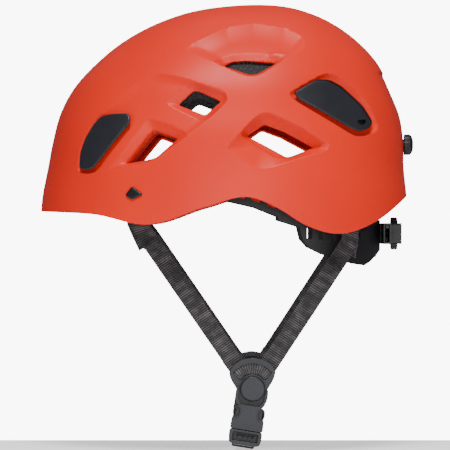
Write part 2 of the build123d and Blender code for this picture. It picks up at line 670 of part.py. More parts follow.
def make_buckle_female():
    half, y0, y1 = BUCKLE_HALF_WIDTH, BUCKLE_Y - BUCKLE_DEPTH / 2, BUCKLE_Y + BUCKLE_DEPTH / 2
    body = below(-half, half, BUCKLE_TOP, BUCKLE_JOIN, y0, y1)
    body = fillet(body.edges().filter_by(Axis.Z), 2.0)
    in_half = half - BUCKLE_WALL
    in_y = PRONG_DEPTH / 2 + BUCKLE_CLEARANCE
    in_top = BUCKLE_TOP + BUCKLE_WALL
    body -= below(-in_half, in_half, in_top, BUCKLE_JOIN + 1, BUCKLE_Y - in_y, BUCKLE_Y + in_y)
    for side in (-1, 1):
        u0, u1 = sorted((side * (half - 4), side * (half + 1)))
        body -= below(u0, u1, WINDOW_TOP, WINDOW_BOTTOM, BUCKLE_Y - in_y, BUCKLE_Y + in_y)
    return lean((body + neck_ring(8)).solids().sort_by(SortBy.VOLUME)[-1])


def make_buckle_male():
    half, y0, y1 = BUCKLE_HALF_WIDTH, BUCKLE_Y - BUCKLE_DEPTH / 2, BUCKLE_Y + BUCKLE_DEPTH / 2
    base = below(-half, half, BUCKLE_JOIN + BUCKLE_CLEARANCE, BUCKLE_BOTTOM, y0, y1)
    base = fillet(base.edges().filter_by(Axis.Y), 2.0)
    slot_half = WEB_WIDTH / 2 + WEB_SLOT_CLEARANCE
    base -= below(-slot_half, slot_half, MALE_SLOT_TOP, MALE_SLOT_BOTTOM, y0 - 1, y1 + 1)
    tongue_y = PRONG_DEPTH / 2
    tongue = below(-2.5, 2.5, TONGUE_TOP, BUCKLE_JOIN + 1, BUCKLE_Y - tongue_y, BUCKLE_Y + tongue_y)
    return lean((base + tongue).solids().sort_by(SortBy.VOLUME)[-1])


def make_prong(side):
    """One springy prong, with its barb at the window."""
    outer = BUCKLE_HALF_WIDTH - BUCKLE_WALL - BUCKLE_CLEARANCE
    y0, y1 = BUCKLE_Y - PRONG_DEPTH / 2, BUCKLE_Y + PRONG_DEPTH / 2
    stalk = below(outer - PRONG_WIDTH, outer - 1.0, PRONG_TOP, BUCKLE_JOIN, y0, y1)
    barb = below(outer - PRONG_WIDTH, outer, PRONG_TOP, WINDOW_BOTTOM - 0.5, y0, y1)
    prong = stalk + barb
    if side < 0:
        prong = prong.mirror(Plane.YZ.offset(BUTTON_X))
    return lean(prong.solids()[0])


def make_chin_hanger():
    """Right side: a ring on the far button with a slot for the chin webbing."""
    y0, y1 = BUCKLE_Y - BUCKLE_DEPTH / 2, BUCKLE_Y + BUCKLE_DEPTH / 2
    body = below(-10.5, 10.5, BUCKLE_TOP, HANGER_SLOT_BOTTOM + 3.5, y0, y1)
    body = fillet(body.edges().filter_by(Axis.Y), 1.5)
    slot_half = WEB_WIDTH / 2 + WEB_SLOT_CLEARANCE
    body -= below(-slot_half, slot_half, HANGER_SLOT_TOP, HANGER_SLOT_BOTTOM, y0 - 1, y1 + 1)
    return mirrored(lean((body + neck_ring(7)).solids().sort_by(SortBy.VOLUME)[-1]))


def chin_route():
    """How far across the chin, then how far below the button, the webbing lies."""
    start = (BUCKLE_Y - 1, (MALE_SLOT_TOP + MALE_SLOT_BOTTOM) / 2)
    end = (-BUCKLE_Y + 1, (HANGER_SLOT_TOP + HANGER_SLOT_BOTTOM) / 2)
    return [start, (-61, 37.5), (KEEPER_Y, CHIN_SAG), (8, 41.0), (42, 28.5), (60, 21), end]


def make_chin_webbing():
    route = chin_route()
    upper = Spline(*[(y, -v + WEB_THICKNESS / 2) for y, v in route])
    lower = Spline(*[(y, -v - WEB_THICKNESS / 2) for y, v in route])
    ends = [Line(upper @ 0, lower @ 0), Line(upper @ 1, lower @ 1)]
    face = make_face([upper, lower] + ends)
    strip = extrude(Plane.YZ * face, amount=WEB_WIDTH, dir=(1, 0, 0))
    return lean(Pos(BUTTON_X - WEB_WIDTH / 2, 0, BUTTON_Z) * strip).solids()[0]


def make_keeper():
    y0, y1 = KEEPER_Y - 2.5, KEEPER_Y + 2.5
    half, rise = WEB_WIDTH / 2 + 0.5, WEB_THICKNESS / 2 + 0.7
    outer = below(-half - 1.5, half + 1.5, CHIN_SAG - rise - 1.3, CHIN_SAG + rise + 1.3, y0, y1)
    outer = fillet(outer.edges().filter_by(Axis.Y), 1.2)
    return lean((outer - below(-half, half, CHIN_SAG - rise, CHIN_SAG + rise, y0 - 1, y1 + 1)).solids()[0])


# ---- pads
def make_brow_pad():
    inset = BAND_WALL + PAD_GAP
    ring = plan_ring(BAND_FRONT - inset, CRADLE_REAR, BAND_HALF - inset, BROW_PAD_THICKNESS)
    reach = BAND_FRONT + 5
    back, (low, high) = BROW_PAD_BACK, BROW_PAD_Z
    face = Polyline((-reach, low), (back, low), (back, high), (-reach, high), close=True)
    return (ring & prism(make_face(face), -SHELL_WIDTH, SHELL_WIDTH)).solids()[0]


def make_nape_pad():
    inset = BAND_WALL + ARM_CLEARANCE + BAND_WALL + PAD_GAP
    ring = plan_ring(BAND_FRONT, CRADLE_REAR - BAND_WALL - PAD_GAP, BAND_HALF - inset, NAPE_PAD_THICKNESS)
    piece = block(60, CRADLE_REAR + 5, -NAPE_PAD_HALF, NAPE_PAD_HALF, *NAPE_PAD_Z)
    return (ring & piece).solids()[0]


def make_crown_pad():
    """Left crown pad, on the inside of the liner."""
    start = SHELL_WALL + LINER_GAP + LINER_THICKNESS + PAD_GAP
    layer = dome(start) - dome(start + CROWN_PAD_THICKNESS)
    patch = block(*CROWN_PAD_X, *CROWN_PAD_Y, LINER_EDGE_Z + 10, SHELL_HEIGHT)
    return (layer & patch).solids().sort_by(SortBy.VOLUME)[-1]


def make_headband_post():
    """Left post that holds the headband in the shell, at the temple."""
    x, z = HEADBAND_POST
    y0, y1 = -half_width_at(x, z) + SHELL_WALL - 0.6, -BAND_HALF - 0.1
    post = Pos(x, (y0 + y1) / 2, z) * Rot(90, 0, 0) * Cylinder(POST_RADIUS, y1 - y0)
    pin = Pos(x, y1, z) * Rot(90, 0, 0) * Cylinder(POST_PIN_RADIUS, POST_PIN_LENGTH)
    return ((post + pin) & dome(SHELL_WALL + 0.1)).solids().sort_by(SortBy.VOLUME)[-1]


# ---- write every piece
def main():
    save(make_shell(), "shell")
    save(make_liner(), "foam_liner")
    save(make_stud(), "rear_stud")
    save(make_headband(), "headband")
    save(make_cradle(), "nape_cradle")
    save(make_brow_pad(), "brow_pad")
    save(make_nape_pad(), "nape_pad")
    inner, back = make_housing()
    save(inner, "fit_housing_inner")
    save(back, "fit_housing_outer")
    save(make_wheel(), "fit_wheel")
    save(make_pinion(), "fit_pinion")
    save(make_axle(), "fit_axle")
    save(make_detent(), "fit_detent_leaf")
    pairs = {
        "front_clip": make_clip(FRONT_CLIP, FRONT_CLIP_FOOT),
        "rear_clip": make_clip(REAR_CLIP, REAR_CLIP_FOOT),
        "anchor_plug": make_plug(-1),
        "front_hanger": make_front_hanger(),
        "rear_hanger": make_rear_hanger(),
        "headband_post": make_headband_post(),
        "crown_pad": make_crown_pad(),
        "front_webbing": make_front_webbing(),
        "rear_webbing": make_rear_webbing(),
        "strap_divider": make_divider(),
        "pivot_button": make_button(),
        "side_band": make_side_band(),
    }
    for name, left in pairs.items():
        save(left, f"{name}_left")
        save(mirrored(left), f"{name}_right")
    save(make_rack(-1), "fit_rack_left")
    save(make_rack(1), "fit_rack_right")
    save(make_buckle_female(), "buckle_female")
    save(make_buckle_male(), "buckle_male")
    save(make_prong(-1), "buckle_prong_front")
    save(make_prong(1), "buckle_prong_rear")
    save(make_chin_hanger(), "chin_hanger")
    save(make_chin_webbing(), "chin_webbing")
    save(make_keeper(), "web_keeper")


main()
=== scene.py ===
# %% [markdown]
# # A climbing helmet
# A hard moulded shell over a crown liner of bead foam, with four clips for a headlamp strap, a nape
# cradle drawn in by a wheel, and a chin strap of four webbing legs that meet at two dividers.
# The CAD model has the sizes and the joints. This script gives each piece its look.

# %% Load the frame
import json
import math
import bmesh
import bpy
import numpy as np
from mathutils import Matrix, Vector

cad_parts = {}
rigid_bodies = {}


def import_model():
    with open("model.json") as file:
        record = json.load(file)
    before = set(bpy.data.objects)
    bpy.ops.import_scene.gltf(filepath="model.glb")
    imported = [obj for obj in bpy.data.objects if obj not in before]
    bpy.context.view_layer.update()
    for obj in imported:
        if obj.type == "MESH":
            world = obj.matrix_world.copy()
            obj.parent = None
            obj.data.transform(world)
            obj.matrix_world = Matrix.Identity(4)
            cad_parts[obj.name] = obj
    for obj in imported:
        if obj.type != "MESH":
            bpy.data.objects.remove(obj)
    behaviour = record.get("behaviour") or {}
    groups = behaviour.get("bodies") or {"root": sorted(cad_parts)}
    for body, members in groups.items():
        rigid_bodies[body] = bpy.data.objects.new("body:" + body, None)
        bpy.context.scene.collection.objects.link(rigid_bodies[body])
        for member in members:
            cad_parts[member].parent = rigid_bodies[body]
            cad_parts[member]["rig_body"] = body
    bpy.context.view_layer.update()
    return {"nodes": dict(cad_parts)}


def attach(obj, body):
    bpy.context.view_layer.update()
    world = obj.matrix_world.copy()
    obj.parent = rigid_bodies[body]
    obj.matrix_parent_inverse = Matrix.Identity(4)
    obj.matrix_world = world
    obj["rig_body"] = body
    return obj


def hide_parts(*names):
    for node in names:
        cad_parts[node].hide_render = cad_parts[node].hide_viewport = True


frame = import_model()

MM = 0.001


# %% [markdown]
# ## Small helpers
# A piece is made in a bmesh, written to a mesh, shaded smooth and put in the scene at the origin.
# It then rides on a body of the frame, takes a material, and may replace a CAD node.

# %% Helpers for pieces
def piece(name, bm, material, body, replaces=(), smooth=True):
    """Write a bmesh to an object that rides on a body."""
    mesh = bpy.data.meshes.new(name)
    bm.to_mesh(mesh)
    bm.free()
    for polygon in mesh.polygons:
        polygon.use_smooth = smooth
    mesh.materials.append(material)
    made = bpy.data.objects.new(name, mesh)
    bpy.context.scene.collection.objects.link(made)
    if body:
        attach(made, body)
    if replaces:
        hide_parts(*replaces)
    print(name, len(mesh.polygons), "faces")
    return made


def add_modifier(made, kind, **settings):
    modifier = made.modifiers.new(kind.title(), kind)
    for key, value in settings.items():
        setattr(modifier, key, value)
    return modifier


def mirror_y(bm):
    """Turn a left-hand bmesh into its right-hand twin."""
    bmesh.ops.scale(bm, vec=(1, -1, 1), verts=bm.verts)
    bmesh.ops.reverse_faces(bm, faces=bm.faces)


# %% [markdown]
# ## Shader maths
# A Wire holds a node's output. Adding or multiplying wires adds Math nodes, so a mask can be
# written like a formula. Everything else comes from Paint.node, which takes a node's type, its
# settings and the values of its sockets.

# %% Shader helpers
class Wire:
    def __init__(self, paint, socket):
        self.paint, self.socket = paint, socket

    def math(self, operation, *others):
        return self.paint.node("ShaderNodeMath", {"operation": operation}, self, *others)

    def __add__(self, other):
        return self.math("ADD", other)

    def __mul__(self, other):
        return self.math("MULTIPLY", other)

    def __sub__(self, other):
        return self.math("SUBTRACT", other)

    def __rsub__(self, other):
        return self.paint.node("ShaderNodeMath", {"operation": "SUBTRACT"}, other, self)

    __radd__, __rmul__ = __add__, __mul__

    def step(self, low, high):
        """0 below low, 1 above high, smooth between."""
        settings = {"interpolation_type": "SMOOTHSTEP"}
        return self.paint.node("ShaderNodeMapRange", settings, self, low, high, 0.0, 1.0)


class Paint:
    """A material with one Principled shader."""

    def __init__(self, name, color, roughness, **settings):
        self.material = bpy.data.materials.new(name)
        self.material.use_nodes = True
        self.material.diffuse_color = (*color, 1)
        self.tree = self.material.node_tree
        self.shader = self.tree.nodes["Principled BSDF"]
        self.set("Base Color", (*color, 1))
        self.set("Roughness", roughness)
        for key, value in settings.items():
            self.set(key.replace("_", " "), value)

    def set(self, socket_name, value):
        socket = self.shader.inputs[socket_name]
        if isinstance(value, Wire):
            self.tree.links.new(value.socket, socket)
        else:
            socket.default_value = value

    def node(self, kind, settings, *values, output=0, **named):
        made = self.tree.nodes.new(kind)
        for key, value in settings.items():
            if key == "stops":
                ramp = made.color_ramp.elements
                while len(ramp) < len(value):
                    ramp.new(0.5)
                for element, (position, shade) in zip(ramp, value):
                    element.position = position
                    element.color = (*shade, 1)
            else:
                setattr(made, key, value)
        inputs = list(enumerate(values)) + list(named.items())
        for key, value in inputs:
            socket = made.inputs[key.replace("_", " ") if isinstance(key, str) else key]
            if isinstance(value, Wire):
                self.tree.links.new(value.socket, socket)
            elif value is not None:
                socket.default_value = value
        return Wire(self, made.outputs[output])

    def place(self):
        """Where a point is on the object, in metres."""
        return self.node("ShaderNodeTexCoord", {}, output=3)

    def noise(self, scale, detail=3.0, where=None):
        return self.node("ShaderNodeTexNoise", {}, Vector=where or self.place(), Scale=scale, Detail=detail)

    def blend(self, factor, first, second):
        made = self.tree.nodes.new("ShaderNodeMix")
        made.data_type = "RGBA"
        for index, value in ((0, factor), (6, first), (7, second)):
            if isinstance(value, Wire):
                self.tree.links.new(value.socket, made.inputs[index])
            else:
                made.inputs[index].default_value = (*value, 1) if isinstance(value, tuple) else value
        return Wire(self, made.outputs[2])

    def bump(self, height, distance, strength=1.0):
        normal = self.node("ShaderNodeBump", {}, Strength=strength, Distance=distance, Height=height)
        self.set("Normal", normal)


# %% [markdown]
# ## Finishes
# The shell is a satin ABS moulding with a faint orange-peel skin. The clips, buckle and fit parts
# are finely sparked nylon and acetal. The liner is bead foam, and the webbing is woven polyester.

# %% Moulded plastics
def shell_paint():
    paint = Paint("shell_red", (0.78, 0.021, 0.006), 0.42, Specular_IOR_Level=0.2)
    cloudy = paint.noise(9.0, 2.0).step(0.35, 0.65)
    paint.set("Base Color", paint.blend(cloudy, (0.74, 0.018, 0.005), (0.79, 0.023, 0.007)))
    peel = paint.noise(900.0, 2.0)
    paint.set("Roughness", paint.noise(60.0, 3.0) * 0.08 + 0.37)
    paint.bump(peel, 0.00010, 0.3)
    return paint.material


def grained_paint(name, dark, light, roughness, grain=1800.0, depth=0.00012):
    """A moulded dark plastic with a sparked grain."""
    paint = Paint(name, dark, roughness, Specular_IOR_Level=0.35)
    cloudy = paint.noise(35.0, 3.0).step(0.3, 0.7)
    paint.set("Base Color", paint.blend(cloudy, dark, light))
    grit = paint.noise(grain, 2.0)
    paint.set("Roughness", grit * 0.16 + (roughness - 0.08))
    paint.bump(grit, depth, 0.5)
    return paint.material


def foam_paint():
    paint = Paint("bead_foam", (0.014, 0.014, 0.016), 0.75)
    cells = paint.node("ShaderNodeTexVoronoi", {"feature": "F1"}, Vector=paint.place(), Scale=420.0)
    beads = cells.step(0.15, 0.75)
    paint.set("Base Color", paint.blend(beads, (0.030, 0.030, 0.033), (0.008, 0.008, 0.010)))
    paint.bump(1 - beads, 0.0008, 0.8)
    return paint.material


RED = shell_paint()
CLIP = grained_paint("clip_grey", (0.013, 0.0135, 0.018), (0.018, 0.0185, 0.024), 0.42)
BUCKLE = grained_paint("buckle_grey", (0.011, 0.012, 0.016), (0.016, 0.017, 0.022), 0.40)
HARD = grained_paint("hard_black", (0.005, 0.005, 0.006), (0.009, 0.009, 0.011), 0.42)
BAND = grained_paint("band_black", (0.006, 0.006, 0.008), (0.010, 0.010, 0.012), 0.48)
RUBBER = grained_paint("wheel_rubber", (0.008, 0.008, 0.010), (0.013, 0.013, 0.016), 0.6)
STEEL = grained_paint("spring_steel", (0.45, 0.45, 0.46), (0.55, 0.55, 0.56), 0.3)
FOAM = foam_paint()
print("finishes made")


# %% [markdown]
# ## The dome
# Every layer of the helmet follows one form: flat sections, each a rounded oval, whose reach to the
# front and rear and whose half width change with height. Squares of the sizes are interpolated,
# which keeps the crown round instead of pointed.

# %% The dome's form
LENGTH_HALF, WIDTH_HALF, HEIGHT = 0.140, 0.1075, 0.157
PLAN_EXPONENT = 2.25
LEVELS = np.array([
    (-0.21, 1.01, 0.985, 0.985), (-0.07, 1.005, 0.995, 1.0), (0.06, 0.995, 0.995, 1.0),
    (0.20, 0.965, 0.98, 0.985), (0.34, 0.935, 0.975, 0.955), (0.47, 0.895, 0.955, 0.90),
    (0.60, 0.815, 0.90, 0.84), (0.72, 0.69, 0.83, 0.745), (0.84, 0.515, 0.70, 0.60),
    (0.925, 0.32, 0.555, 0.435), (0.975, 0.125, 0.41, 0.265), (1.0, -0.18, 0.18, 0.0)])


def smooth_through(x, knots, values):
    """A smooth curve through the values at the knots."""
    slopes = np.gradient(values, knots)
    i = np.clip(np.searchsorted(knots, x) - 1, 0, len(knots) - 2)
    span = knots[i + 1] - knots[i]
    t = np.clip((x - knots[i]) / span, 0, 1)
    rise = (1 + 2 * t) * (1 - t) ** 2 * values[i] + t ** 2 * (3 - 2 * t) * values[i + 1]
    return rise + span * (t * (1 - t) ** 2 * slopes[i] - t ** 2 * (1 - t) * slopes[i + 1])


def section(z):
    """Centre, half length and half width of the flat section at each height."""
    share = np.clip(z / HEIGHT, LEVELS[0, 0], 1.0)
    front, rear, width = LEVELS[:, 1], LEVELS[:, 2], LEVELS[:, 3]
    centre = smooth_through(share, LEVELS[:, 0], (rear - front) / 2) * LENGTH_HALF
    length = np.sqrt(np.maximum(smooth_through(share, LEVELS[:, 0], ((rear + front) / 2) ** 2), 1e-9))
    breadth = np.sqrt(np.maximum(smooth_through(share, LEVELS[:, 0], width ** 2), 1e-9))
    return centre, length * LENGTH_HALF, breadth * WIDTH_HALF


def outside(points):
    """Above 0 outside the dome, below 0 inside."""
    centre, length, breadth = section(points[:, 2])
    bulge = np.abs((points[:, 0] - centre) / length) ** PLAN_EXPONENT
    bulge += np.abs(points[:, 1] / breadth) ** PLAN_EXPONENT
    return np.where(points[:, 2] > HEIGHT, 1.0, bulge - 1)


HEART = np.array([0.012, 0.0, 0.030])


def onto_dome(directions):
    """Push each direction out from the heart of the helmet until it meets the dome."""
    low, high = np.zeros(len(directions)), np.full(len(directions), 0.3)
    for _ in range(26):
        middle = (low + high) / 2
        out = outside(HEART + directions * middle[:, None]) > 0
        high = np.where(out, middle, high)
        low = np.where(out, low, middle)
    return HEART + directions * ((low + high) / 2)[:, None]


def dome_normal(points):
    """The outward direction of the dome at points on it."""
    nudge = 0.0004
    slope = np.zeros_like(points)
    for axis in range(3):
        shift = np.zeros(3)
        shift[axis] = nudge
        slope[:, axis] = outside(points + shift) - outside(points - shift)
    return slope / np.linalg.norm(slope, axis=1)[:, None]


# %% [markdown]
# ## Outlines in side view
# Vents, scoops and clips are drawn in side view as corners in millimetres. `rounded` turns the
# corners into arcs. A recess is a border and a depth: its floor slopes in from the border to the
# vent's edge.

# %% Outline tools
def rounded(corners, radius, per_corner=5):
    """Corners in mm to a closed run of points in metres, each corner rounded."""
    done = []
    count = len(corners)
    for i in range(count):
        before, here, after = (Vector(corners[(i + k) % count]) for k in (-1, 0, 1))
        reach = min(radius, 0.45 * (before - here).length, 0.45 * (after - here).length)
        start = here + (before - here).normalized() * reach
        end = here + (after - here).normalized() * reach
        for step in range(per_corner + 1):
            t = step / per_corner
            spot = start * (1 - t) ** 2 + here * (2 * t * (1 - t)) + end * t ** 2
            done.append((spot.x * MM, spot.y * MM))
    return done


def line_distance(x, z, run, closed=True):
    """Distance in side view from each point to a run of points."""
    best = np.full(len(x), 1e9)
    pairs = zip(run, run[1:] + run[:1]) if closed else zip(run, run[1:])
    for (ax, az), (bx, bz) in pairs:
        dx, dz = bx - ax, bz - az
        size = dx * dx + dz * dz + 1e-18
        t = np.clip(((x - ax) * dx + (z - az) * dz) / size, 0, 1)
        best = np.minimum(best, np.hypot(x - ax - t * dx, z - az - t * dz))
    return best


def inside(x, z, run):
    odd = np.zeros(len(x), bool)
    for (ax, az), (bx, bz) in zip(run, run[1:] + run[:1]):
        crosses = (az > z) != (bz > z)
        at = ax + (z - az) * (bx - ax) / (bz - az + 1e-18)
        odd ^= crosses & (x < at)
    return odd


def ease(t):
    t = np.clip(t, 0, 1)
    return t * t * (3 - 2 * t)


def score(bm, run, closed=True):
    """Cut the mesh along a side-view outline, so that its faces meet on the line."""
    margin = 0.0004
    xs, zs = [p[0] for p in run], [p[1] for p in run]
    low = (min(xs) - 0.004, min(zs) - 0.004)
    high = (max(xs) + 0.004, max(zs) + 0.004)
    near = {f for f in bm.faces
            if low[0] < f.calc_center_median().x < high[0] and low[1] < f.calc_center_median().z < high[1]}
    pairs = zip(run, run[1:] + run[:1]) if closed else zip(run, run[1:])
    for a, b in pairs:
        dx, dz = b[0] - a[0], b[1] - a[1]
        length = math.hypot(dx, dz)
        if length < 1e-6:
            continue
        tx, tz = dx / length, dz / length
        picked = []
        for face in near:
            along = [(v.co.x - a[0]) * tx + (v.co.z - a[1]) * tz for v in face.verts]
            if max(along) < -margin or min(along) > length + margin:
                continue
            off = [(v.co.x - a[0]) * tz - (v.co.z - a[1]) * tx for v in face.verts]
            if min(off) < 0 < max(off):
                picked.append(face)
        if not picked:
            continue
        parts = set(picked)
        for face in picked:
            parts.update(face.edges)
            parts.update(face.verts)
        cut = bmesh.ops.bisect_plane(bm, geom=list(parts), dist=1e-6,
                                     plane_co=(a[0], 0, a[1]), plane_no=(tz, 0, -tx))
        near = {f for f in near if f.is_valid}
        near.update(g for g in cut["geom"] if isinstance(g, bmesh.types.BMFace))


def side_view(elements):
    spots = [f.calc_center_median() for f in elements]
    return np.array([s.x for s in spots]), np.array([s.z for s in spots])


# %% [markdown]
# ## The shell's outlines
# Four vents open each side. The front clip, the front vent and the upper vent share one wide
# sunken facet; the ribs between the recesses are what is left standing.

# %% Vents, recesses and the rim, in side view (mm)
VENTS = {
    "front": rounded([(-76, 34.5), (-54.5, 61), (-35, 53.5), (-52, 39), (-60, 37)], 2.2),
    "upper": rounded([(-35, 78.7), (-23.5, 89.6), (-19.5, 89.3), (-2.5, 81.2), (-14.5, 71)], 2.2),
    "side": rounded([(17, 56.5), (30.5, 66), (46.5, 60), (69.5, 47), (50, 39.8), (47, 40)], 2.4),
    "top": rounded([(-0.5, 109.2), (6, 113), (16.5, 113.6), (39, 111.6), (25, 103), (19, 102.2)], 1.8),
}
RECESSES = {
    "front": (rounded([(-57, 68.5), (-44, 65), (-27.5, 57), (-28, 53.5), (-54.5, 35), (-88, 29)], 4), 6.0),
    "upper": (rounded([(-44.5, 79), (-29.5, 94), (-22, 94), (1.5, 86), (2.5, 80), (-11, 67),
                       (-17, 65.5)], 4), 5.5),
    "side": (rounded([(0.5, 45), (10, 54.8), (22.6, 68.5), (30, 72.2), (37.6, 70.3), (57.2, 61.3), (78, 48.4),
                      (76, 43.5), (46.9, 35), (33.4, 29.8), (24, 29.8)], 4), 8.5),
    "top": (rounded([(-9, 109.8), (1, 116.5), (14, 118.6), (39, 117.6), (49.5, 115.2), (27, 99.5),
                     (20, 98), (14, 99)], 3), 5.5),
}
LEDGE = rounded([(11, 55.5), (23, 68), (31, 71.5), (37, 69.5), (57, 60.5), (75, 48), (71, 44), (47, 38),
                 (38.6, 38)], 3)
SCOOP_TOP = rounded([(-31, 119), (-9, 109), (1, 112), (14, 114), (39, 113), (51, 113), (61, 120.5),
                     (58, 130), (46, 136.2), (22, 140), (1, 136.4), (-22, 124.5)], 5)
SCOOP_BROW = [(x * MM, z * MM) for x, z in
              [(-31, 119), (-22, 124.5), (1, 136.4), (22, 140), (46, 136.2), (58, 130), (61, 120.5)]]
SCOOP_FOOT_FRONT = [(-31 * MM, 119 * MM), (-9 * MM, 109 * MM)]
SCOOP_FOOT_REAR = [(39 * MM, 113 * MM), (51 * MM, 113 * MM), (61 * MM, 120.5 * MM)]
FACET = rounded([(-92, 71), (-76, 86), (-65, 94.5), (-51, 101.5), (-33, 98.5), (1, 87), (2.5, 81), (-12, 66),
                 (-28, 54), (-54.5, 35), (-88, 28.5), (-106, 25), (-109, 37), (-101.5, 57)], 6)
FRONT_CLIP = rounded([(-107, 29.5), (-106.5, 42), (-102.5, 53), (-96.5, 63), (-91, 69), (-82.5, 70.7),
                      (-70, 70.7), (-68.5, 64.5), (-82.5, 48), (-93, 34.5), (-97.5, 29.5)], 3.4)
REAR_CLIP = rounded([(50.5, 86), (65.5, 94.7), (75.5, 95), (85, 90), (101, 75.5), (108, 64.5), (107.5, 60.5),
                     (100, 57.7), (93.5, 59.5), (71.5, 72), (54.5, 81)], 3.4)
REAR_POCKET = rounded([(47, 86), (73, 101), (79, 101.6), (85.5, 99), (102, 86), (109, 76), (115.5, 62),
                       (113, 57.5),
                       (104.5, 54), (97, 54), (51, 81)], 5)
FRONT_POCKET = rounded([(-109.5, 27), (-109, 42), (-105, 54), (-98.5, 65), (-92, 71.5), (-82.5, 73),
                        (-67, 73),
                        (-65.5, 64), (-80.5, 46), (-91, 32), (-96, 26.5)], 4)
RIM = [(-142, -1), (-95, -4), (-57, -11.3), (-14, 1.5), (19, 8.8), (40, 0.5), (60, -11.5), (83, -18),
       (112, -9.5), (142, 13)]


def rim_run(steps=150):
    knots = np.array(RIM) * MM
    x = np.linspace(knots[0, 0], knots[-1, 0], steps)
    return list(zip(x, smooth_through(x, knots[:, 0], knots[:, 1])))


# %% Depth of the shell's relief
def sink(near, reach, deep):
    """A crisp edge that levels out at its full depth."""
    return deep * MM * (1 - (1 - np.clip(near / (reach * MM), 0, 1)) ** 2)


def relief(points):
    """How far, in metres, the skin stands in from the plain dome."""
    x, z = points[:, 0], points[:, 2]
    depth = sink(line_distance(x, z, FACET), 7, 2.2) * inside(x, z, FACET)
    fade = np.minimum(line_distance(x, z, SCOOP_FOOT_FRONT, closed=False),
                      line_distance(x, z, SCOOP_FOOT_REAR, closed=False))
    scoop = sink(line_distance(x, z, SCOOP_BROW, closed=False), 12, 3.8) * inside(x, z, SCOOP_TOP)
    scoop = scoop * ease(fade / (9 * MM))
    depth = np.maximum(depth, scoop)
    for name, (border, deep) in RECESSES.items():
        run = VENTS[name]
        edge = line_distance(x, z, border)
        vent = np.where(inside(x, z, run), 0.0, line_distance(x, z, run))
        slope = edge / (edge + vent + 1e-9)
        depth = np.where(inside(x, z, border), depth + (deep * MM - depth) * slope, depth)
    depth += sink(line_distance(x, z, LEDGE), 2.5, 1.8) * inside(x, z, LEDGE)
    for pocket, deep in ((REAR_POCKET, 3.0), (FRONT_POCKET, 2.6)):
        sunk = sink(line_distance(x, z, pocket), 3.5, deep)
        depth = np.where(inside(x, z, pocket), np.maximum(depth, sunk), depth)
    return depth


def rear_step(points):
    """The shallow panel at the back, whose upper edge is a small step."""
    across = ease((0.034 - np.abs(points[:, 1])) / 0.008)
    up = ease((0.1045 - points[:, 2]) / 0.0015) * ease((points[:, 2] - 0.060) / 0.030)
    return 1.3 * MM * across * up * (points[:, 0] > 0.06)


# %% [markdown]
# ## The shell
# An icosphere gives even triangles with no pole at the crown. Its points are pushed onto the dome,
# half is kept, and the rim, the vents and the borders of the recesses are scored into it. The
# relief is then pressed in, each vent gets a flange turned inwards, and the half is mirrored.

# %% Press the shell
def settle(bm):
    """Put every point of the mesh on the dome."""
    directions = np.array([v.co for v in bm.verts]) - HEART
    directions /= np.linalg.norm(directions, axis=1)[:, None]
    for vert, spot in zip(bm.verts, onto_dome(directions)):
        vert.co = spot


def make_dome_half():
    """Half of the dome: coarse where it is plain, fine where it has relief."""
    bm = bmesh.new()
    bmesh.ops.create_icosphere(bm, subdivisions=6, radius=0.1)
    bmesh.ops.translate(bm, verts=bm.verts, vec=HEART)
    settle(bm)
    everything = list(bm.verts) + list(bm.edges) + list(bm.faces)
    bmesh.ops.bisect_plane(bm, geom=everything, dist=1e-6, plane_co=(0, 0, 0), plane_no=(0, 1, 0),
                           clear_outer=True)
    x, z = side_view(bm.faces)
    rich = np.zeros(len(x), bool)
    outlines = [FACET, SCOOP_TOP, REAR_POCKET, FRONT_POCKET] + [border for border, _ in RECESSES.values()]
    for run in outlines:
        rich |= inside(x, z, run) | (line_distance(x, z, run) < 4 * MM)
    rich |= (x > 0.09) & (np.abs(z - 0.104) < 0.012)
    rich |= line_distance(x, z, rim_run(40), closed=False) < 5 * MM
    edges = {e for f, fine in zip(list(bm.faces), rich) if fine for e in f.edges}
    bmesh.ops.subdivide_edges(bm, edges=list(edges), cuts=2, use_grid_fill=True)
    bmesh.ops.triangulate(bm, faces=bm.faces)
    middle = {v for v in bm.verts if abs(v.co.y) < 1e-6}
    settle(bm)
    for vert in middle:
        vert.co.y = 0.0
    print("half dome", len(bm.faces), "faces")
    return bm


DOME_HALF = make_dome_half()


def dome_half(near=None):
    """A copy of the left half of the dome, or only of its part near an outline."""
    bm = DOME_HALF.copy()
    if near:
        xs, zs = [p[0] for p in near], [p[1] for p in near]
        x, z = side_view(bm.faces)
        far = (x < min(xs) - 0.008) | (x > max(xs) + 0.008) | (z < min(zs) - 0.008) | (z > max(zs) + 0.008)
        gone = [f for f, away in zip(list(bm.faces), far) if away or f.calc_center_median().y > -0.01]
        bmesh.ops.delete(bm, geom=gone, context="FACES")
    return bm


def keep_above(bm, run):
    x, z = side_view(bm.faces)
    rim_z = np.interp(x, [p[0] for p in run], [p[1] for p in run])
    below = [f for f, gone in zip(list(bm.faces), z < rim_z) if gone]
    bmesh.ops.delete(bm, geom=below, context="FACES")


def open_vents(bm):
    for run in VENTS.values():
        x, z = side_view(bm.faces)
        gone = [f for f, hole in zip(list(bm.faces), inside(x, z, run)) if hole]
        bmesh.ops.delete(bm, geom=gone, context="FACES")


def press(bm, amount):
    bm.verts.ensure_lookup_table()
    points = np.array([v.co for v in bm.verts])
    moved = points - dome_normal(points) * amount(points)[:, None]
    for vert, spot in zip(bm.verts, moved):
        if abs(vert.co.y) < 1e-6:
            spot[1] = 0.0
        vert.co = spot


FLANGE_DEPTHS = {"front": 12.0, "upper": 1.2, "side": 1.5, "top": 1.5}


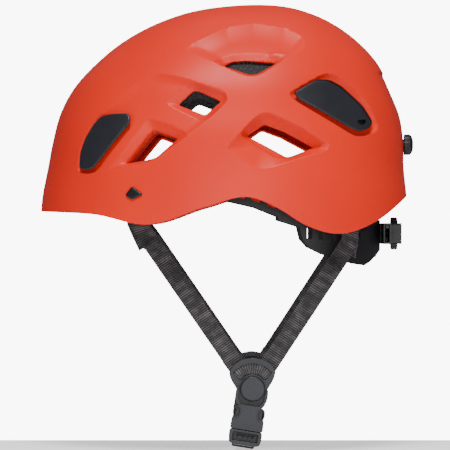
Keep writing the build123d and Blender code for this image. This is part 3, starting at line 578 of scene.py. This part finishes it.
def turn_in_vents(bm):
    """A flange round each vent, turned inwards from its edge."""
    for name, run in VENTS.items():
        rims = [e for e in bm.edges if e.is_boundary]
        mids = [(e.verts[0].co + e.verts[1].co) / 2 for e in rims]
        x, z = np.array([m.x for m in mids]), np.array([m.z for m in mids])
        close = line_distance(x, z, run) < 4 * MM
        lips = [e for e, near in zip(rims, close) if near]
        grown = bmesh.ops.extrude_edge_only(bm, edges=lips)["geom"]
        fresh = [v for v in grown if isinstance(v, bmesh.types.BMVert)]
        points = np.array([v.co for v in fresh])
        inward = dome_normal(points) * FLANGE_DEPTHS[name] * MM
        for vert, move in zip(fresh, inward):
            vert.co -= Vector(move)
        print(name, "vent flange", len(lips), "edges")


def make_shell():
    bm = dome_half()
    rim = rim_run()
    score(bm, rim, closed=False)
    keep_above(bm, rim)
    for run in VENTS.values():
        score(bm, run)
    for border, _ in RECESSES.values():
        score(bm, border)
    for border in (LEDGE, SCOOP_TOP, FACET, REAR_POCKET, FRONT_POCKET):
        score(bm, border)
    open_vents(bm)
    bmesh.ops.dissolve_degenerate(bm, dist=0.02 * MM, edges=bm.edges)
    bmesh.ops.triangulate(bm, faces=bm.faces)
    press(bm, lambda points: relief(points) + rear_step(points))
    turn_in_vents(bm)
    bmesh.ops.mirror(bm, geom=list(bm.verts) + list(bm.edges) + list(bm.faces), axis="Y", merge_dist=1e-6)
    bmesh.ops.remove_doubles(bm, verts=bm.verts, dist=2e-6)
    bmesh.ops.recalc_face_normals(bm, faces=bm.faces)
    return bm


shell = piece("shell_skin", make_shell(), RED, "shell_body", replaces=("shell",))
if shell.data.polygons[0].normal.dot(Vector(shell.data.polygons[0].center) - Vector(HEART)) < 0:
    shell.data.flip_normals()
add_modifier(shell, "SOLIDIFY", thickness=2.3 * MM, offset=-1.0)


# %% [markdown]
# ## The liner
# Bead foam fills the crown. It is the same dome, set in by the wall of the shell and pressed by the same
# relief, so it backs every recess, and the upper vent is cut through it a little smaller than the shell's.
# Its thickness is then grown inwards, which gives that vent a deep wall square to the dome.

# %% Mould the liner
LINER_EDGE = 76 * MM


def smaller(run, by):
    """The outline drawn in by a distance."""
    middle = Vector((sum(p[0] for p in run), sum(p[1] for p in run))) / len(run)
    drawn = []
    for x, z in run:
        toward = middle - Vector((x, z))
        spot = Vector((x, z)) + toward.normalized() * min(by, toward.length * 0.8)
        drawn.append((spot.x, spot.y))
    return drawn


def make_liner():
    bm = dome_half()
    edge = [(-0.16, LINER_EDGE), (0.16, LINER_EDGE)]
    score(bm, edge, closed=False)
    keep_above(bm, edge)
    holes = {"upper": smaller(VENTS["upper"], 1.3 * MM)}
    for run in holes.values():
        score(bm, run)
        x, z = side_view(bm.faces)
        gone = [f for f, hole in zip(list(bm.faces), inside(x, z, run)) if hole]
        bmesh.ops.delete(bm, geom=gone, context="FACES")
    bmesh.ops.triangulate(bm, faces=bm.faces)
    outer = list(bm.verts)
    grown = bmesh.ops.extrude_face_region(bm, geom=list(bm.faces), use_keep_orig=True)["geom"]
    for verts, amount in ((outer, lambda spots: relief(spots) + 2.9 * MM),
                          ([v for v in grown if isinstance(v, bmesh.types.BMVert)], lambda spots: 17 * MM)):
        spots = np.array([v.co for v in verts])
        moved = spots - dome_normal(spots) * (np.zeros(len(spots)) + amount(spots))[:, None]
        for vert, spot in zip(verts, moved):
            vert.co = (spot[0], 0.0 if abs(vert.co.y) < 1e-6 else spot[1], spot[2])
    cut = [f for f in bm.faces if all(abs(v.co.y) < 1e-6 for v in f.verts)]
    bmesh.ops.delete(bm, geom=cut, context="FACES")
    bmesh.ops.mirror(bm, geom=list(bm.verts) + list(bm.edges) + list(bm.faces), axis="Y", merge_dist=1e-6)
    bmesh.ops.remove_doubles(bm, verts=bm.verts, dist=2e-6)
    bmesh.ops.recalc_face_normals(bm, faces=bm.faces)
    return bm


def face_outwards(made):
    """Turn an open skin over if it faces the heart of the helmet."""
    polygon = max(made.data.polygons, key=lambda f: f.center.z)
    if polygon.normal.z < 0:
        made.data.flip_normals()


face_outwards(shell)
piece("crown_liner", make_liner(), FOAM, "shell_body", replaces=("foam_liner",))

# %% [markdown]
# ## Plates that follow the dome
# The headlamp clips and the anchor plugs are thin plates with rounded edges. A patch of the dome is
# cut out along the outline and along two smaller copies of it, and the rows between them are
# lowered along a quarter circle to round the edge. Solidify closes the back.

# %% Plates
def patch(run, base, top, round_edge=0.9, holes=()):
    """A patch of the dome inside the outline, whose top stands out by `top`."""
    bm = dome_half(near=run)
    rows = [run] + [smaller(run, share * round_edge * MM) for share in (0.3, 1.0)]
    for row in list(rows) + list(holes):
        score(bm, row)
    x, z = side_view(bm.faces)
    keep = inside(x, z, run)
    for hole in holes:
        keep &= ~inside(x, z, hole)
    bmesh.ops.delete(bm, geom=[f for f, kept in zip(list(bm.faces), keep) if not kept], context="FACES")
    rest = [f for f in bm.faces if f.calc_center_median().y > 0]
    bmesh.ops.delete(bm, geom=rest, context="FACES")

    def lift(points):
        near = line_distance(points[:, 0], points[:, 2], run) / (round_edge * MM)
        drop = 1 - np.sqrt(np.clip(1 - (1 - np.clip(near, 0, 1)) ** 2, 0, 1))
        return -(top - drop * (top - base) * 0.6) * MM

    press(bm, lift)
    bmesh.ops.recalc_face_normals(bm, faces=bm.faces)
    if sum(f.normal.y for f in bm.faces) > 0:
        bmesh.ops.reverse_faces(bm, faces=bm.faces)
    return bm


def plates(name, make, material, bodies, replaced, thickness):
    """A plate and its mirror twin, each with its back closed."""
    for side, body in zip(("left", "right"), bodies):
        bm = make()
        if side == "right":
            mirror_y(bm)
        made = piece(f"{name}_{side}", bm, material, body,
                     replaces=(f"{replaced}_{side}",) if replaced else ())
        add_modifier(made, "SOLIDIFY", thickness=thickness * MM, offset=-1.0)
        add_modifier(made, "BEVEL", width=0.25 * MM, segments=2, limit_method="ANGLE")


HALF_MOON = rounded([(97.8, 66.4), (104.8, 66.9), (104.4, 64.0), (101.5, 62.6), (98.6, 63.6)], 1.5)
HALF_MOON = [(x - 0.5 * MM, z - 0.4 * MM) for x, z in HALF_MOON]
PLUG_CAP = rounded([(-73.2, 10.4), (-67.8, 17.0), (-59.4, 10.9), (-67.8, 6.9)], 2.0)
clip_bodies = ("clip_front_left_body", "clip_front_right_body")
plates("headlamp_clip_front", lambda: patch(FRONT_CLIP, 0.2, 2.3, 1.3), CLIP, clip_bodies, "front_clip", 1.9)
clip_bodies = ("clip_rear_left_body", "clip_rear_right_body")
plates("headlamp_clip_rear", lambda: patch(REAR_CLIP, 0.2, 2.3, 1.3, holes=(HALF_MOON,)), CLIP, clip_bodies,
       "rear_clip", 1.9)
BED = [(x + 2.4 * MM, z + 1.9 * MM) for x, z in REAR_CLIP]
plates("clip_bed_rear", lambda: patch(BED, -1.0, 0.1, 0.6), HARD, clip_bodies, None, 1.4)
plates("anchor_cap", lambda: patch(PLUG_CAP, 0.0, 1.6, 1.9), HARD, ("shell_body",) * 2, "anchor_plug", 1.6)

# %% [markdown]
# ## Webbing
# Polyester webbing has a rib across it for every pick of the weft, and a firm edge. Each leg is a
# strip laid along its route, with the ribs raised in the mesh and the yarn in the material, which
# reads the strip's own UV map in metres. The strip goes round its bar and back, and is sewn.

# %% Woven polyester
def webbing_paint(name, dark, light):
    paint = Paint(name, dark, 0.8)
    paint.set("Sheen Weight", 0.25)
    where = paint.node("ShaderNodeUVMap", {"uv_map": "weave"})
    across = paint.node("ShaderNodeTexWave", {"wave_type": "BANDS", "bands_direction": "Y"},
                        Vector=where, Scale=190.0, Distortion=0.3)
    along = paint.node("ShaderNodeTexWave", {"wave_type": "BANDS", "bands_direction": "X"},
                       Vector=where, Scale=330.0, Distortion=0.2)
    weave = across * 0.65 + along * 0.35
    worn = paint.noise(120.0, 3.0).step(0.35, 0.75)
    mottled = weave * (worn * 0.5 + 0.6)
    paint.set("Base Color", paint.blend(mottled.step(0.30, 1.0), dark, light))
    paint.bump(weave, 0.0004, 0.8)
    return paint.material


WEB = webbing_paint("webbing_charcoal", (0.004, 0.0035, 0.004), (0.130, 0.113, 0.118))
WORN_WEB = webbing_paint("webbing_worn", (0.020, 0.018, 0.018), (0.190, 0.170, 0.165))
WORN_STRAND = grained_paint("buckle_strand", (0.016, 0.016, 0.019), (0.050, 0.050, 0.055), 0.45,
                            700.0, 0.0004)
THREAD = grained_paint("bar_tack_thread", (0.020, 0.019, 0.021), (0.045, 0.042, 0.045), 0.8, 2500.0, 0.0003)
WEB_WIDTH, WEB_THICK = 13.2 * MM, 1.5 * MM
RIB = 1.35 * MM


def along_route(route, spacing):
    """Evenly spaced points, and directions, on a run of points."""
    points = [Vector(p) * MM for p in route]
    length = [0.0]
    for a, b in zip(points, points[1:]):
        length.append(length[-1] + (b - a).length)
    count = max(8, int(length[-1] / spacing))
    ask = np.linspace(0, length[-1], count + 1)
    spots = np.array([[p[k] for p in points] for k in range(3)])
    return ask, np.stack([np.interp(ask, length, spots[k]) for k in range(3)], axis=1)


def strip(route, across, width=WEB_WIDTH, ribs=True):
    """Webbing on a route in mm; `across` is the direction of its width at each point."""
    ask, spots = along_route(route, RIB / 4)
    share = ask / ask[-1]
    knots = np.linspace(0, 1, len(across))
    wide = np.stack([np.interp(share, knots, [c[k] for c in across]) for k in range(3)], axis=1)
    wide /= np.linalg.norm(wide, axis=1)[:, None]
    bm = bmesh.new()
    uv = bm.loops.layers.uv.new("weave")
    rows, columns = len(ask) - 1, 8
    bmesh.ops.create_grid(bm, x_segments=columns, y_segments=rows, size=0.5)
    heading = np.gradient(spots, axis=0)
    heading /= np.linalg.norm(heading, axis=1)[:, None] + 1e-12
    lift = np.cross(wide, heading)
    for vert in bm.verts:
        row = int(round((vert.co.y + 0.5) * rows))
        u = vert.co.x
        edge = min(1.0, (0.5 - abs(u)) * 8)
        rib = math.sin(ask[row] / RIB * 2 * math.pi) * 0.10 * MM * edge if ribs else 0.0
        spot = spots[row] + wide[row] * u * width * (1 - 0.004 * math.sin(row * 0.7)) + lift[row] * rib
        vert.co = spot
    bm.verts.ensure_lookup_table()
    for face in bm.faces:
        for loop in face.loops:
            index = loop.vert.index
            loop[uv].uv = ((index % (columns + 1)) / columns * width, ask[index // (columns + 1)])
    return bm


def web_piece(name, bm, body, replaced=(), right=False, material=None):
    if right:
        mirror_y(bm)
    made = piece(name, bm, material or WEB, body, replaces=replaced)
    add_modifier(made, "SOLIDIFY", thickness=WEB_THICK, offset=0.0)
    add_modifier(made, "BEVEL", width=0.4 * MM, segments=2, limit_method="ANGLE", angle_limit=1.0)
    return made


def loop_round(x, y, z, radius, start_turn, end_turn, steps=9):
    """Points round a bar that lies along X, from one turn in degrees to another."""
    turns = [math.radians(start_turn + (end_turn - start_turn) * i / steps) for i in range(steps + 1)]
    return [(x, y + radius * math.cos(t), z + radius * math.sin(t)) for t in turns]


# %% The four legs
STRAP_Y, BAR_Z, BAR_RADIUS = -73.0, 4.0, 2.75
SLOT_FRONT, SLOT_REAR, SLOT_Y = (13.6, -123.5), (28.4, -123.5), -62.0
LEGS = {
    "front": ((-66, STRAP_Y - 0.4, -8), SLOT_FRONT, (-66, STRAP_Y + 2.8, -10), (-58, STRAP_Y + 2.2, -27)),
    "rear": ((93.5, STRAP_Y - 0.4, -24), SLOT_REAR, (94, STRAP_Y + 2.8, -10), (92, STRAP_Y + 2.0, -33)),
}


def leg_route(name):
    knee, slot_spot, back, sewn = LEGS[name]
    x = knee[0]
    foot_spot = (slot_spot[0], SLOT_Y, slot_spot[1])
    turn_back = (slot_spot[0] + (knee[0] - slot_spot[0]) * 0.12, SLOT_Y + 3.4, slot_spot[1] + 13)
    route = [sewn, back] + loop_round(x, STRAP_Y, BAR_Z, BAR_RADIUS, 0, 180) + [knee]
    route += [foot_spot, (foot_spot[0], SLOT_Y + 1.7, foot_spot[2] - 1.6),
              (foot_spot[0], SLOT_Y + 3.0, foot_spot[2]), turn_back]
    slant = Vector((slot_spot[0] - x, 0, slot_spot[1] - knee[2])).normalized()
    return route, slant


def leg_across(route, slant):
    """The width turns from along the bar to square with the slanted run."""
    square = (-slant.z, 0, slant.x)
    ask, spots = along_route(route, 1 * MM)
    share = []
    for spot in spots:
        t = ease(np.array((-2 - spot[2] / MM) / 26.0))
        share.append(tuple((1 - float(t)) * a + float(t) * b for a, b in zip((1.0, 0, 0), square)))
    return share


for leg in LEGS:
    for side in ("left", "right"):
        route, slant = leg_route(leg)
        bm = strip(route, leg_across(route, slant))
        web_piece(f"{leg}_leg_{side}", bm, f"strap_{side}_body", (f"{leg}_webbing_{side}",), side == "right")
        x, y, z = LEGS[leg][0]
        tack_z = -24 if leg == "front" else -38
        at = x + slant.x / slant.z * (tack_z - z)
        bm = bmesh.new()
        for row in range(4):
            spot = Vector((at + slant.x * row * 1.6, y - 0.9, tack_z + slant.z * row * 1.6)) * MM
            turned = Matrix.Rotation(-math.atan2(slant.x, -slant.z), 4, "Y")
            lying = Matrix.Translation(spot) @ turned @ Matrix.Rotation(math.pi / 2, 4, "Y")
            bmesh.ops.create_cone(bm, cap_ends=True, segments=8, radius1=0.35 * MM, radius2=0.35 * MM,
                                  depth=10.5 * MM, matrix=lying)
        if side == "right":
            mirror_y(bm)
        piece(f"{leg}_tack_{side}", bm, THREAD, f"strap_{side}_body")

# %% [markdown]
# ## Moulded parts that keep their CAD shape
# The headband, cradle, fit wheel, hangers and prongs have the right shape already. A copy of each
# is merged and its edges are rounded, as a moulded part's are, so that they catch the light.

# %% Round the edges of moulded parts
def soften(node, material, width=0.35, angle=0.6):
    source = frame["nodes"][node]
    bm = bmesh.new()
    bm.from_mesh(source.data)
    bmesh.ops.remove_doubles(bm, verts=bm.verts, dist=1e-6)
    bmesh.ops.dissolve_limit(bm, angle_limit=0.01, verts=bm.verts, edges=bm.edges)
    made = piece(f"{node}_skin", bm, material, source["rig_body"], replaces=(node,))
    add_modifier(made, "BEVEL", width=width * MM, segments=2, limit_method="ANGLE", angle_limit=angle)
    add_modifier(made, "WEIGHTED_NORMAL", keep_sharp=True)
    return made


SOFTENED = {
    BAND: ["headband", "nape_cradle", "side_band_left", "side_band_right"],
    BUCKLE: ["pivot_button_left", "pivot_button_right", "chin_hanger"],
    # the buckle prongs are the buckle's grey plastic; their black finish paints the shade inside the buckle's
    # windows
    HARD: ["buckle_prong_front", "buckle_prong_rear", "fit_housing_inner", "fit_housing_outer",
           "front_hanger_left", "front_hanger_right", "rear_hanger_left", "rear_hanger_right",
           "headband_post_left", "headband_post_right", "web_keeper"],
    RUBBER: ["fit_wheel"],
}
for material, nodes in SOFTENED.items():
    for node in nodes:
        soften(node, material)

for node, material in (("fit_pinion", HARD), ("fit_axle", STEEL), ("fit_detent_leaf", STEEL),
                       ("fit_rack_left", HARD), ("fit_rack_right", HARD)):
    frame["nodes"][node].data.materials.clear()
    frame["nodes"][node].data.materials.append(material)

# %% [markdown]
# ## Dividers and buckle
# These are drawn flat about the button, in millimetres, pushed to their thickness and carved with
# cutters of the same kind. The edges are rounded after the carving. The buckle leans about the
# button, so it is drawn plumb and turned.

# %% Draw, push and carve
BUTTON_X, BUTTON_Z = 21.0, -133.5
BUCKLE_LEAN = math.radians(9)


def slab(bm, corners, radius, y0, y1):
    """A flat shape about the button, with rounded corners, from y0 to y1."""
    run = rounded(corners, radius, 4) if radius else [(x * MM, z * MM) for x, z in corners]
    verts = [bm.verts.new((x + BUTTON_X * MM, y0 * MM, z + BUTTON_Z * MM)) for x, z in run]
    face = bm.faces.new(verts)
    pushed = bmesh.ops.extrude_face_region(bm, geom=[face])["geom"]
    bmesh.ops.translate(bm, verts=[v for v in pushed if isinstance(v, bmesh.types.BMVert)],
                        vec=(0, (y1 - y0) * MM, 0))
    bmesh.ops.recalc_face_normals(bm, faces=bm.faces)


def carve(bm, cutters):
    """Take the cutters away from a solid, with the exact solver."""
    bodies = []
    for shape in [bm] + cutters:
        mesh = bpy.data.meshes.new("blank")
        shape.to_mesh(mesh)
        shape.free()
        bodies.append(bpy.data.objects.new("blank", mesh))
        bpy.context.scene.collection.objects.link(bodies[-1])
    for cutter in bodies[1:]:
        modifier = bodies[0].modifiers.new("carve", "BOOLEAN")
        modifier.operation, modifier.solver, modifier.object = "DIFFERENCE", "EXACT", cutter
    graph = bpy.context.evaluated_depsgraph_get()
    done = bmesh.new()
    carved = bpy.data.meshes.new_from_object(bodies[0].evaluated_get(graph))
    done.from_mesh(carved)
    for body in bodies:
        bpy.data.objects.remove(body)
    return done


def slab_alone(corners, radius, y0, y1):
    bm = bmesh.new()
    slab(bm, corners, radius, y0, y1)
    return bm


def arc(radius, start, end, steps=12):
    turns = [math.radians(start + (end - start) * i / steps) for i in range(steps + 1)]
    return [(radius * math.cos(t), radius * math.sin(t)) for t in turns]


def oval(u, v, half_u, half_v, steps=20):
    turns = [2 * math.pi * i / steps for i in range(steps)]
    return [(u + half_u * math.cos(t), v + half_v * math.sin(t)) for t in turns]


def rounded_piece(name, bm, material, body, replaces, right=False, width=0.8):
    if right:
        mirror_y(bm)
    made = piece(name, bm, material, body, replaces=replaces)
    add_modifier(made, "BEVEL", width=width * MM, segments=3, limit_method="ANGLE", angle_limit=0.9)
    add_modifier(made, "WEIGHTED_NORMAL", keep_sharp=True)
    return made


def make_divider():
    crown = [(-17.8, 12), (-15.2, 17), (-9.5, 21.2), (0.2, 23.2), (9.2, 21.4), (15, 17.6), (17.4, 13)]
    outline = crown + [(15.8, 7), (9.6, -3.5), (0, -5), (-10, -3.5), (-16.4, 7)]
    opening = arc(18.6, 40, 140) + arc(10.9, 146, 34)
    return carve(slab_alone(outline, 2.2, -68.0, -64.4), [slab_alone(opening, 0.9, -70, -62)])


def leaned(bm):
    """Turn a shape drawn plumb below the button to the buckle's lean."""
    middle = Vector((BUTTON_X, 0, BUTTON_Z)) * MM
    bmesh.ops.rotate(bm, verts=bm.verts, cent=middle, matrix=Matrix.Rotation(BUCKLE_LEAN, 3, "Y"))
    return bm


def make_female():
    body = [(-8.6, -12.6), (-8.9, -13.6), (-11.6, -14.6), (-12.2, -18.4), (-11.4, -22), (-12.1, -23.6),
            (-12.3, -31),
            (12.3, -31), (12.1, -23.6), (11.4, -22), (12.2, -18.4), (11.6, -14.6), (8.9, -13.6), (8.6, -12.6)]
    bm = carve(slab_alone(body, 1.3, -73.4, -65.3),
               [slab_alone(oval(side * 9.0, -18.4, 2.0, 3.8), 0, -80, -60) for side in (-1, 1)])
    ring = [(-11.9, 1.0), (-12.2, -6), (-10.4, -12.4), (-7, -15), (7, -15), (10.4, -12.4), (12.2, -6),
            (11.9, 1.0)]
    gap = arc(10.4, -20, 200, 22) + [(-9.6, -8.5), (-6.6, -12.4), (6.6, -12.4), (9.6, -8.5)]
    shapes = [carve(slab_alone(ring, 2.0, -71.4, -68.3), [slab_alone(gap, 0, -80, -60)])]
    for side in (-1, 1):
        rim = slab_alone(oval(side * 9.0, -18.4, 3.0, 4.9), 0, -73.9, -72.9)
        shapes.append(carve(rim, [slab_alone(oval(side * 9.0, -18.4, 2.0, 3.8), 0, -80, -60)]))
    for shape in shapes:
        joined = bpy.data.meshes.new("joined")
        shape.to_mesh(joined)
        bm.from_mesh(joined)
    return leaned(bm)


def make_painted_shade_slabs():
    """Black slabs that paint the shade behind the gap under the button and behind the side windows."""
    neck = [(-10.8, 0), (-10.8, -11), (-7, -13.4), (7, -13.4), (10.8, -11), (10.8, 0)]
    bm = slab_alone(neck, 1.5, -68.3, -67.9)
    for side in (-1, 1):
        slab(bm, oval(side * 9.0, -18.4, 2.4, 4.2), 0, -66.4, -65.6)
    return leaned(bm)


def make_male():
    body = [(-12.2, -31.4), (-12.4, -36), (-11.6, -41.2), (-8, -42.4), (8, -42.4), (11.6, -41.2), (12.4, -36),
            (12.2, -31.4)]
    window = [(-9.2, -33.4), (-9.2, -39.4), (9.2, -39.4), (9.2, -33.4)]
    bm = carve(slab_alone(body, 1.6, -73.9, -65.3), [slab_alone(window, 0.8, -80, -60)])
    return leaned(bm)


def make_strand_bar():
    """The bar in the male half's window, wrapped by slanting strands."""
    bm = slab_alone([(-9.6, -39.8), (-9.6, -33.0), (9.6, -33.0), (9.6, -39.8)], 0, -68.6, -67.0)
    for lane in range(5):
        x = -9.4 + lane * 3.6
        slab(bm, [(x, -37.0), (x + 2.4, -35.0), (x + 5.2, -34.2), (x + 2.6, -36.4)], 0.6, -70.6, -68.4)
    return leaned(bm)


for side in ("left", "right"):
    rounded_piece(f"divider_plate_{side}", make_divider(), BUCKLE, f"divider_{side}_body",
                  (f"strap_divider_{side}",), side == "right", 0.7)
rounded_piece("buckle_socket", make_female(), BUCKLE, "buckle_body", ("buckle_female",))
rounded_piece("buckle_plug", make_male(), BUCKLE, "male_body", ("buckle_male",))
# black slabs that paint the shade seen through the buckle's gap and side windows
rounded_piece("buckle_painted_shade", make_painted_shade_slabs(), HARD, "buckle_body", (), width=0.2)
rounded_piece("buckle_strands", make_strand_bar(), WORN_STRAND, "male_body", (), width=0.3)

# the webbing seen in each divider's opening, laid round the slot's upper bar
BEND = [(math.cos(math.radians(turn)), 0, math.sin(math.radians(turn))) for turn in range(150, 29, -10)]
for side in ("left", "right"):
    route = [(BUTTON_X + 15.0 * u, -66.2, BUTTON_Z + 15.0 * w) for u, _, w in BEND]
    turn = strip(route, BEND, 7.6 * MM, ribs=False)
    web_piece(f"divider_turn_{side}", turn, f"divider_{side}_body", (), side == "right", WORN_WEB)

# %% [markdown]
# ## Rear stud
# A domed button with a notched rim stands at the back of the shell, to hold a headlamp's strap.

# %% Notched stud
def make_stud():
    bm = bmesh.new()
    place = Matrix.Translation(Vector((139.6, 0, 50)) * MM) @ Matrix.Rotation(math.pi / 2, 4, "Y")
    bmesh.ops.create_cone(bm, cap_ends=True, segments=72, radius1=8.0 * MM, radius2=8.0 * MM, depth=4.4 * MM,
                          matrix=place)
    cap = max((f for f in bm.faces if len(f.verts) > 4), key=lambda f: f.calc_center_median().x)
    for grow, rise in ((1.0, 1.1), (1.6, 1.0), (2.4, 0.5)):
        bmesh.ops.inset_region(bm, faces=[cap], thickness=grow * MM, depth=rise * MM, use_even_offset=True)
    rim = [v for v in bm.verts if math.hypot(v.co.y, v.co.z - 0.05) > 7.9 * MM]
    for vert in rim:
        turn = math.atan2(vert.co.z - 0.05, vert.co.y)
        notch = 0.94 if int(round(turn / (2 * math.pi) * 72)) % 4 < 2 else 1.0
        vert.co.y *= notch
        vert.co.z = 0.05 + (vert.co.z - 0.05) * notch
    neck = Matrix.Translation(Vector((134, 0, 50)) * MM) @ Matrix.Rotation(math.pi / 2, 4, "Y")
    bmesh.ops.create_cone(bm, cap_ends=True, segments=32, radius1=5 * MM, radius2=4 * MM, depth=8 * MM,
                          matrix=neck)
    return bm


rounded_piece("rear_button", make_stud(), HARD, "shell_body", ("rear_stud",), width=0.3)

# %% [markdown]
# ## Comfort pads
# The pads are soft foam in a brushed knit cover. Each is a shrunken copy of its CAD solid, remeshed
# evenly and blown up a little by the cloth solver, so that its sides crown between the seams.

# %% Pads
def pad_paint():
    paint = Paint("pad_knit", (0.030, 0.030, 0.033), 0.95)
    paint.set("Sheen Weight", 0.4)
    fuzz = paint.noise(1400.0, 4.0)
    paint.set("Base Color", paint.blend(fuzz.step(0.3, 0.7), (0.018, 0.018, 0.020), (0.050, 0.050, 0.054)))
    paint.bump(fuzz, 0.0005, 0.8)
    return paint.material


KNIT = pad_paint()


def puff(node, voxel=1.7):
    source = frame["nodes"][node]
    bm = bmesh.new()
    bm.from_mesh(source.data)
    bmesh.ops.remove_doubles(bm, verts=bm.verts, dist=1e-6)
    made = piece(f"{node}_soft", bm, KNIT, source["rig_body"], replaces=(node,))
    remesh = add_modifier(made, "REMESH", mode="VOXEL", voxel_size=voxel * MM)
    bpy.context.view_layer.update()
    shape = bpy.data.meshes.new_from_object(made.evaluated_get(bpy.context.evaluated_depsgraph_get()))
    made.modifiers.remove(remesh)
    made.data = shape
    shape.materials.clear()
    shape.materials.append(KNIT)
    bm = bmesh.new()
    bm.from_mesh(shape)
    for _ in range(3):
        bmesh.ops.smooth_vert(bm, verts=bm.verts, factor=0.5, use_axis_x=True, use_axis_y=True,
                              use_axis_z=True)
    for vert in bm.verts:
        vert.co -= vert.normal * 0.25 * MM
    bm.to_mesh(shape)
    bm.free()
    blow_up(made, 0.9 * MM)
    for polygon in made.data.polygons:
        polygon.use_smooth = True
    print(node, len(made.data.vertices), "points")


def blow_up(made, cap):
    """Run the cloth solver with pressure inside, and keep each point within the cap."""
    before = np.array([v.co for v in made.data.vertices])
    cloth = made.modifiers.new("Cloth", "CLOTH")
    cloth.settings.use_pressure = True
    cloth.settings.uniform_pressure_force = 4.0
    cloth.settings.effector_weights.gravity = 0.0
    cloth.settings.quality = 3
    scene = bpy.context.scene
    for number in range(1, 15):
        scene.frame_set(number)
    blown = bpy.data.meshes.new_from_object(made.evaluated_get(bpy.context.evaluated_depsgraph_get()))
    after = np.array([v.co for v in blown.vertices])
    made.modifiers.remove(cloth)
    scene.frame_set(1)
    move = after - before
    size = np.linalg.norm(move, axis=1)[:, None] + 1e-12
    held = before + move * np.minimum(1.0, cap / size)
    made.data.vertices.foreach_set("co", held.ravel())
    made.data.update()
    bpy.data.meshes.remove(blown)


for node in ("brow_pad", "nape_pad", "crown_pad_left", "crown_pad_right"):
    puff(node)

# %% [markdown]
# ## Chin webbing
# One strip hangs from the male half of the buckle under the chin to the hanger on the right.

# %% Chin strip
def chin_route():
    """The strip's way across, as places across the helmet and depths below the button."""
    spots = [(-70.6, 35.75), (-61, 37.0), (-48, 39.0), (-30, 40.4), (-11, 40.2), (8, 38.4), (26, 34.4),
             (42, 28.5),
             (52, 24), (60, 21), (68.6, 20)]
    aside, down = math.sin(BUCKLE_LEAN), math.cos(BUCKLE_LEAN)
    return [(BUTTON_X - deep * aside, y, BUTTON_Z - deep * down) for y, deep in spots]


ALONG_BUCKLE = (math.cos(BUCKLE_LEAN), 0, -math.sin(BUCKLE_LEAN))
web_piece("chin_strip", strip(chin_route(), [ALONG_BUCKLE] * 2), "male_body", ("chin_webbing",))

# %% [markdown]
# ## Studio
# A pale floor and a bright surround, a key lamp above the near side, a low fill and a faint lamp
# behind. The floor ends just behind the helmet, so that the surround is what shows beyond it.

# %% Camera, lamps and floor
def lamp(name, place, aim, size, power):
    data = bpy.data.lights.new(name, "AREA")
    data.shape, data.size, data.size_y, data.energy = "RECTANGLE", size[0], size[1], power
    made = bpy.data.objects.new(name, data)
    toward = (Vector(aim) - Vector(place)).to_track_quat("-Z", "Y")
    made.matrix_world = Matrix.Translation(place) @ toward.to_matrix().to_4x4()
    bpy.context.scene.collection.objects.link(made)


def studio():
    data = bpy.data.cameras.new("camera")
    data.lens, data.sensor_width, data.clip_end = 261.1, 36, 20
    camera = bpy.data.objects.new("camera", data)
    camera.matrix_world = Matrix.Translation((0.0004, -2.5, -0.0115)) @ Matrix.Rotation(math.pi / 2, 4, "X")
    bpy.context.scene.collection.objects.link(camera)
    bpy.context.scene.camera = camera
    lamp("key", (-0.05, -1.2, 1.75), (0, 0, 0.05), (0.6, 0.5), 46)
    lamp("front_fill", (0.15, -2.1, 0.15), (0, 0, 0), (1.0, 0.7), 15)
    lamp("top", (0.1, 0.3, 1.6), (0, 0, 0.05), (1.2, 1.0), 3)
    world = bpy.data.worlds.new("surround")
    world.use_nodes = True
    tree = world.node_tree
    background, sight = tree.nodes["Background"], tree.nodes.new("ShaderNodeLightPath")
    glow = tree.nodes.new("ShaderNodeMapRange")
    glow.inputs["To Min"].default_value, glow.inputs["To Max"].default_value = 0.17, 9.0
    tree.links.new(sight.outputs["Is Camera Ray"], glow.inputs["Value"])
    tree.links.new(glow.outputs["Result"], background.inputs["Strength"])
    background.inputs["Color"].default_value = (1, 1, 1, 1)
    bpy.context.scene.world = world
    bm = bmesh.new()
    bmesh.ops.create_grid(bm, x_segments=1, y_segments=1, size=0.43)
    bmesh.ops.translate(bm, verts=bm.verts, vec=(0, -0.32, -0.1835))
    white = Paint("floor_white", (0.9, 0.9, 0.9), 0.9)
    white.set("Emission Color", (1, 1, 1, 1))
    white.set("Emission Strength", 0.7)
    floor = piece("floor", bm, white.material, None)


studio()
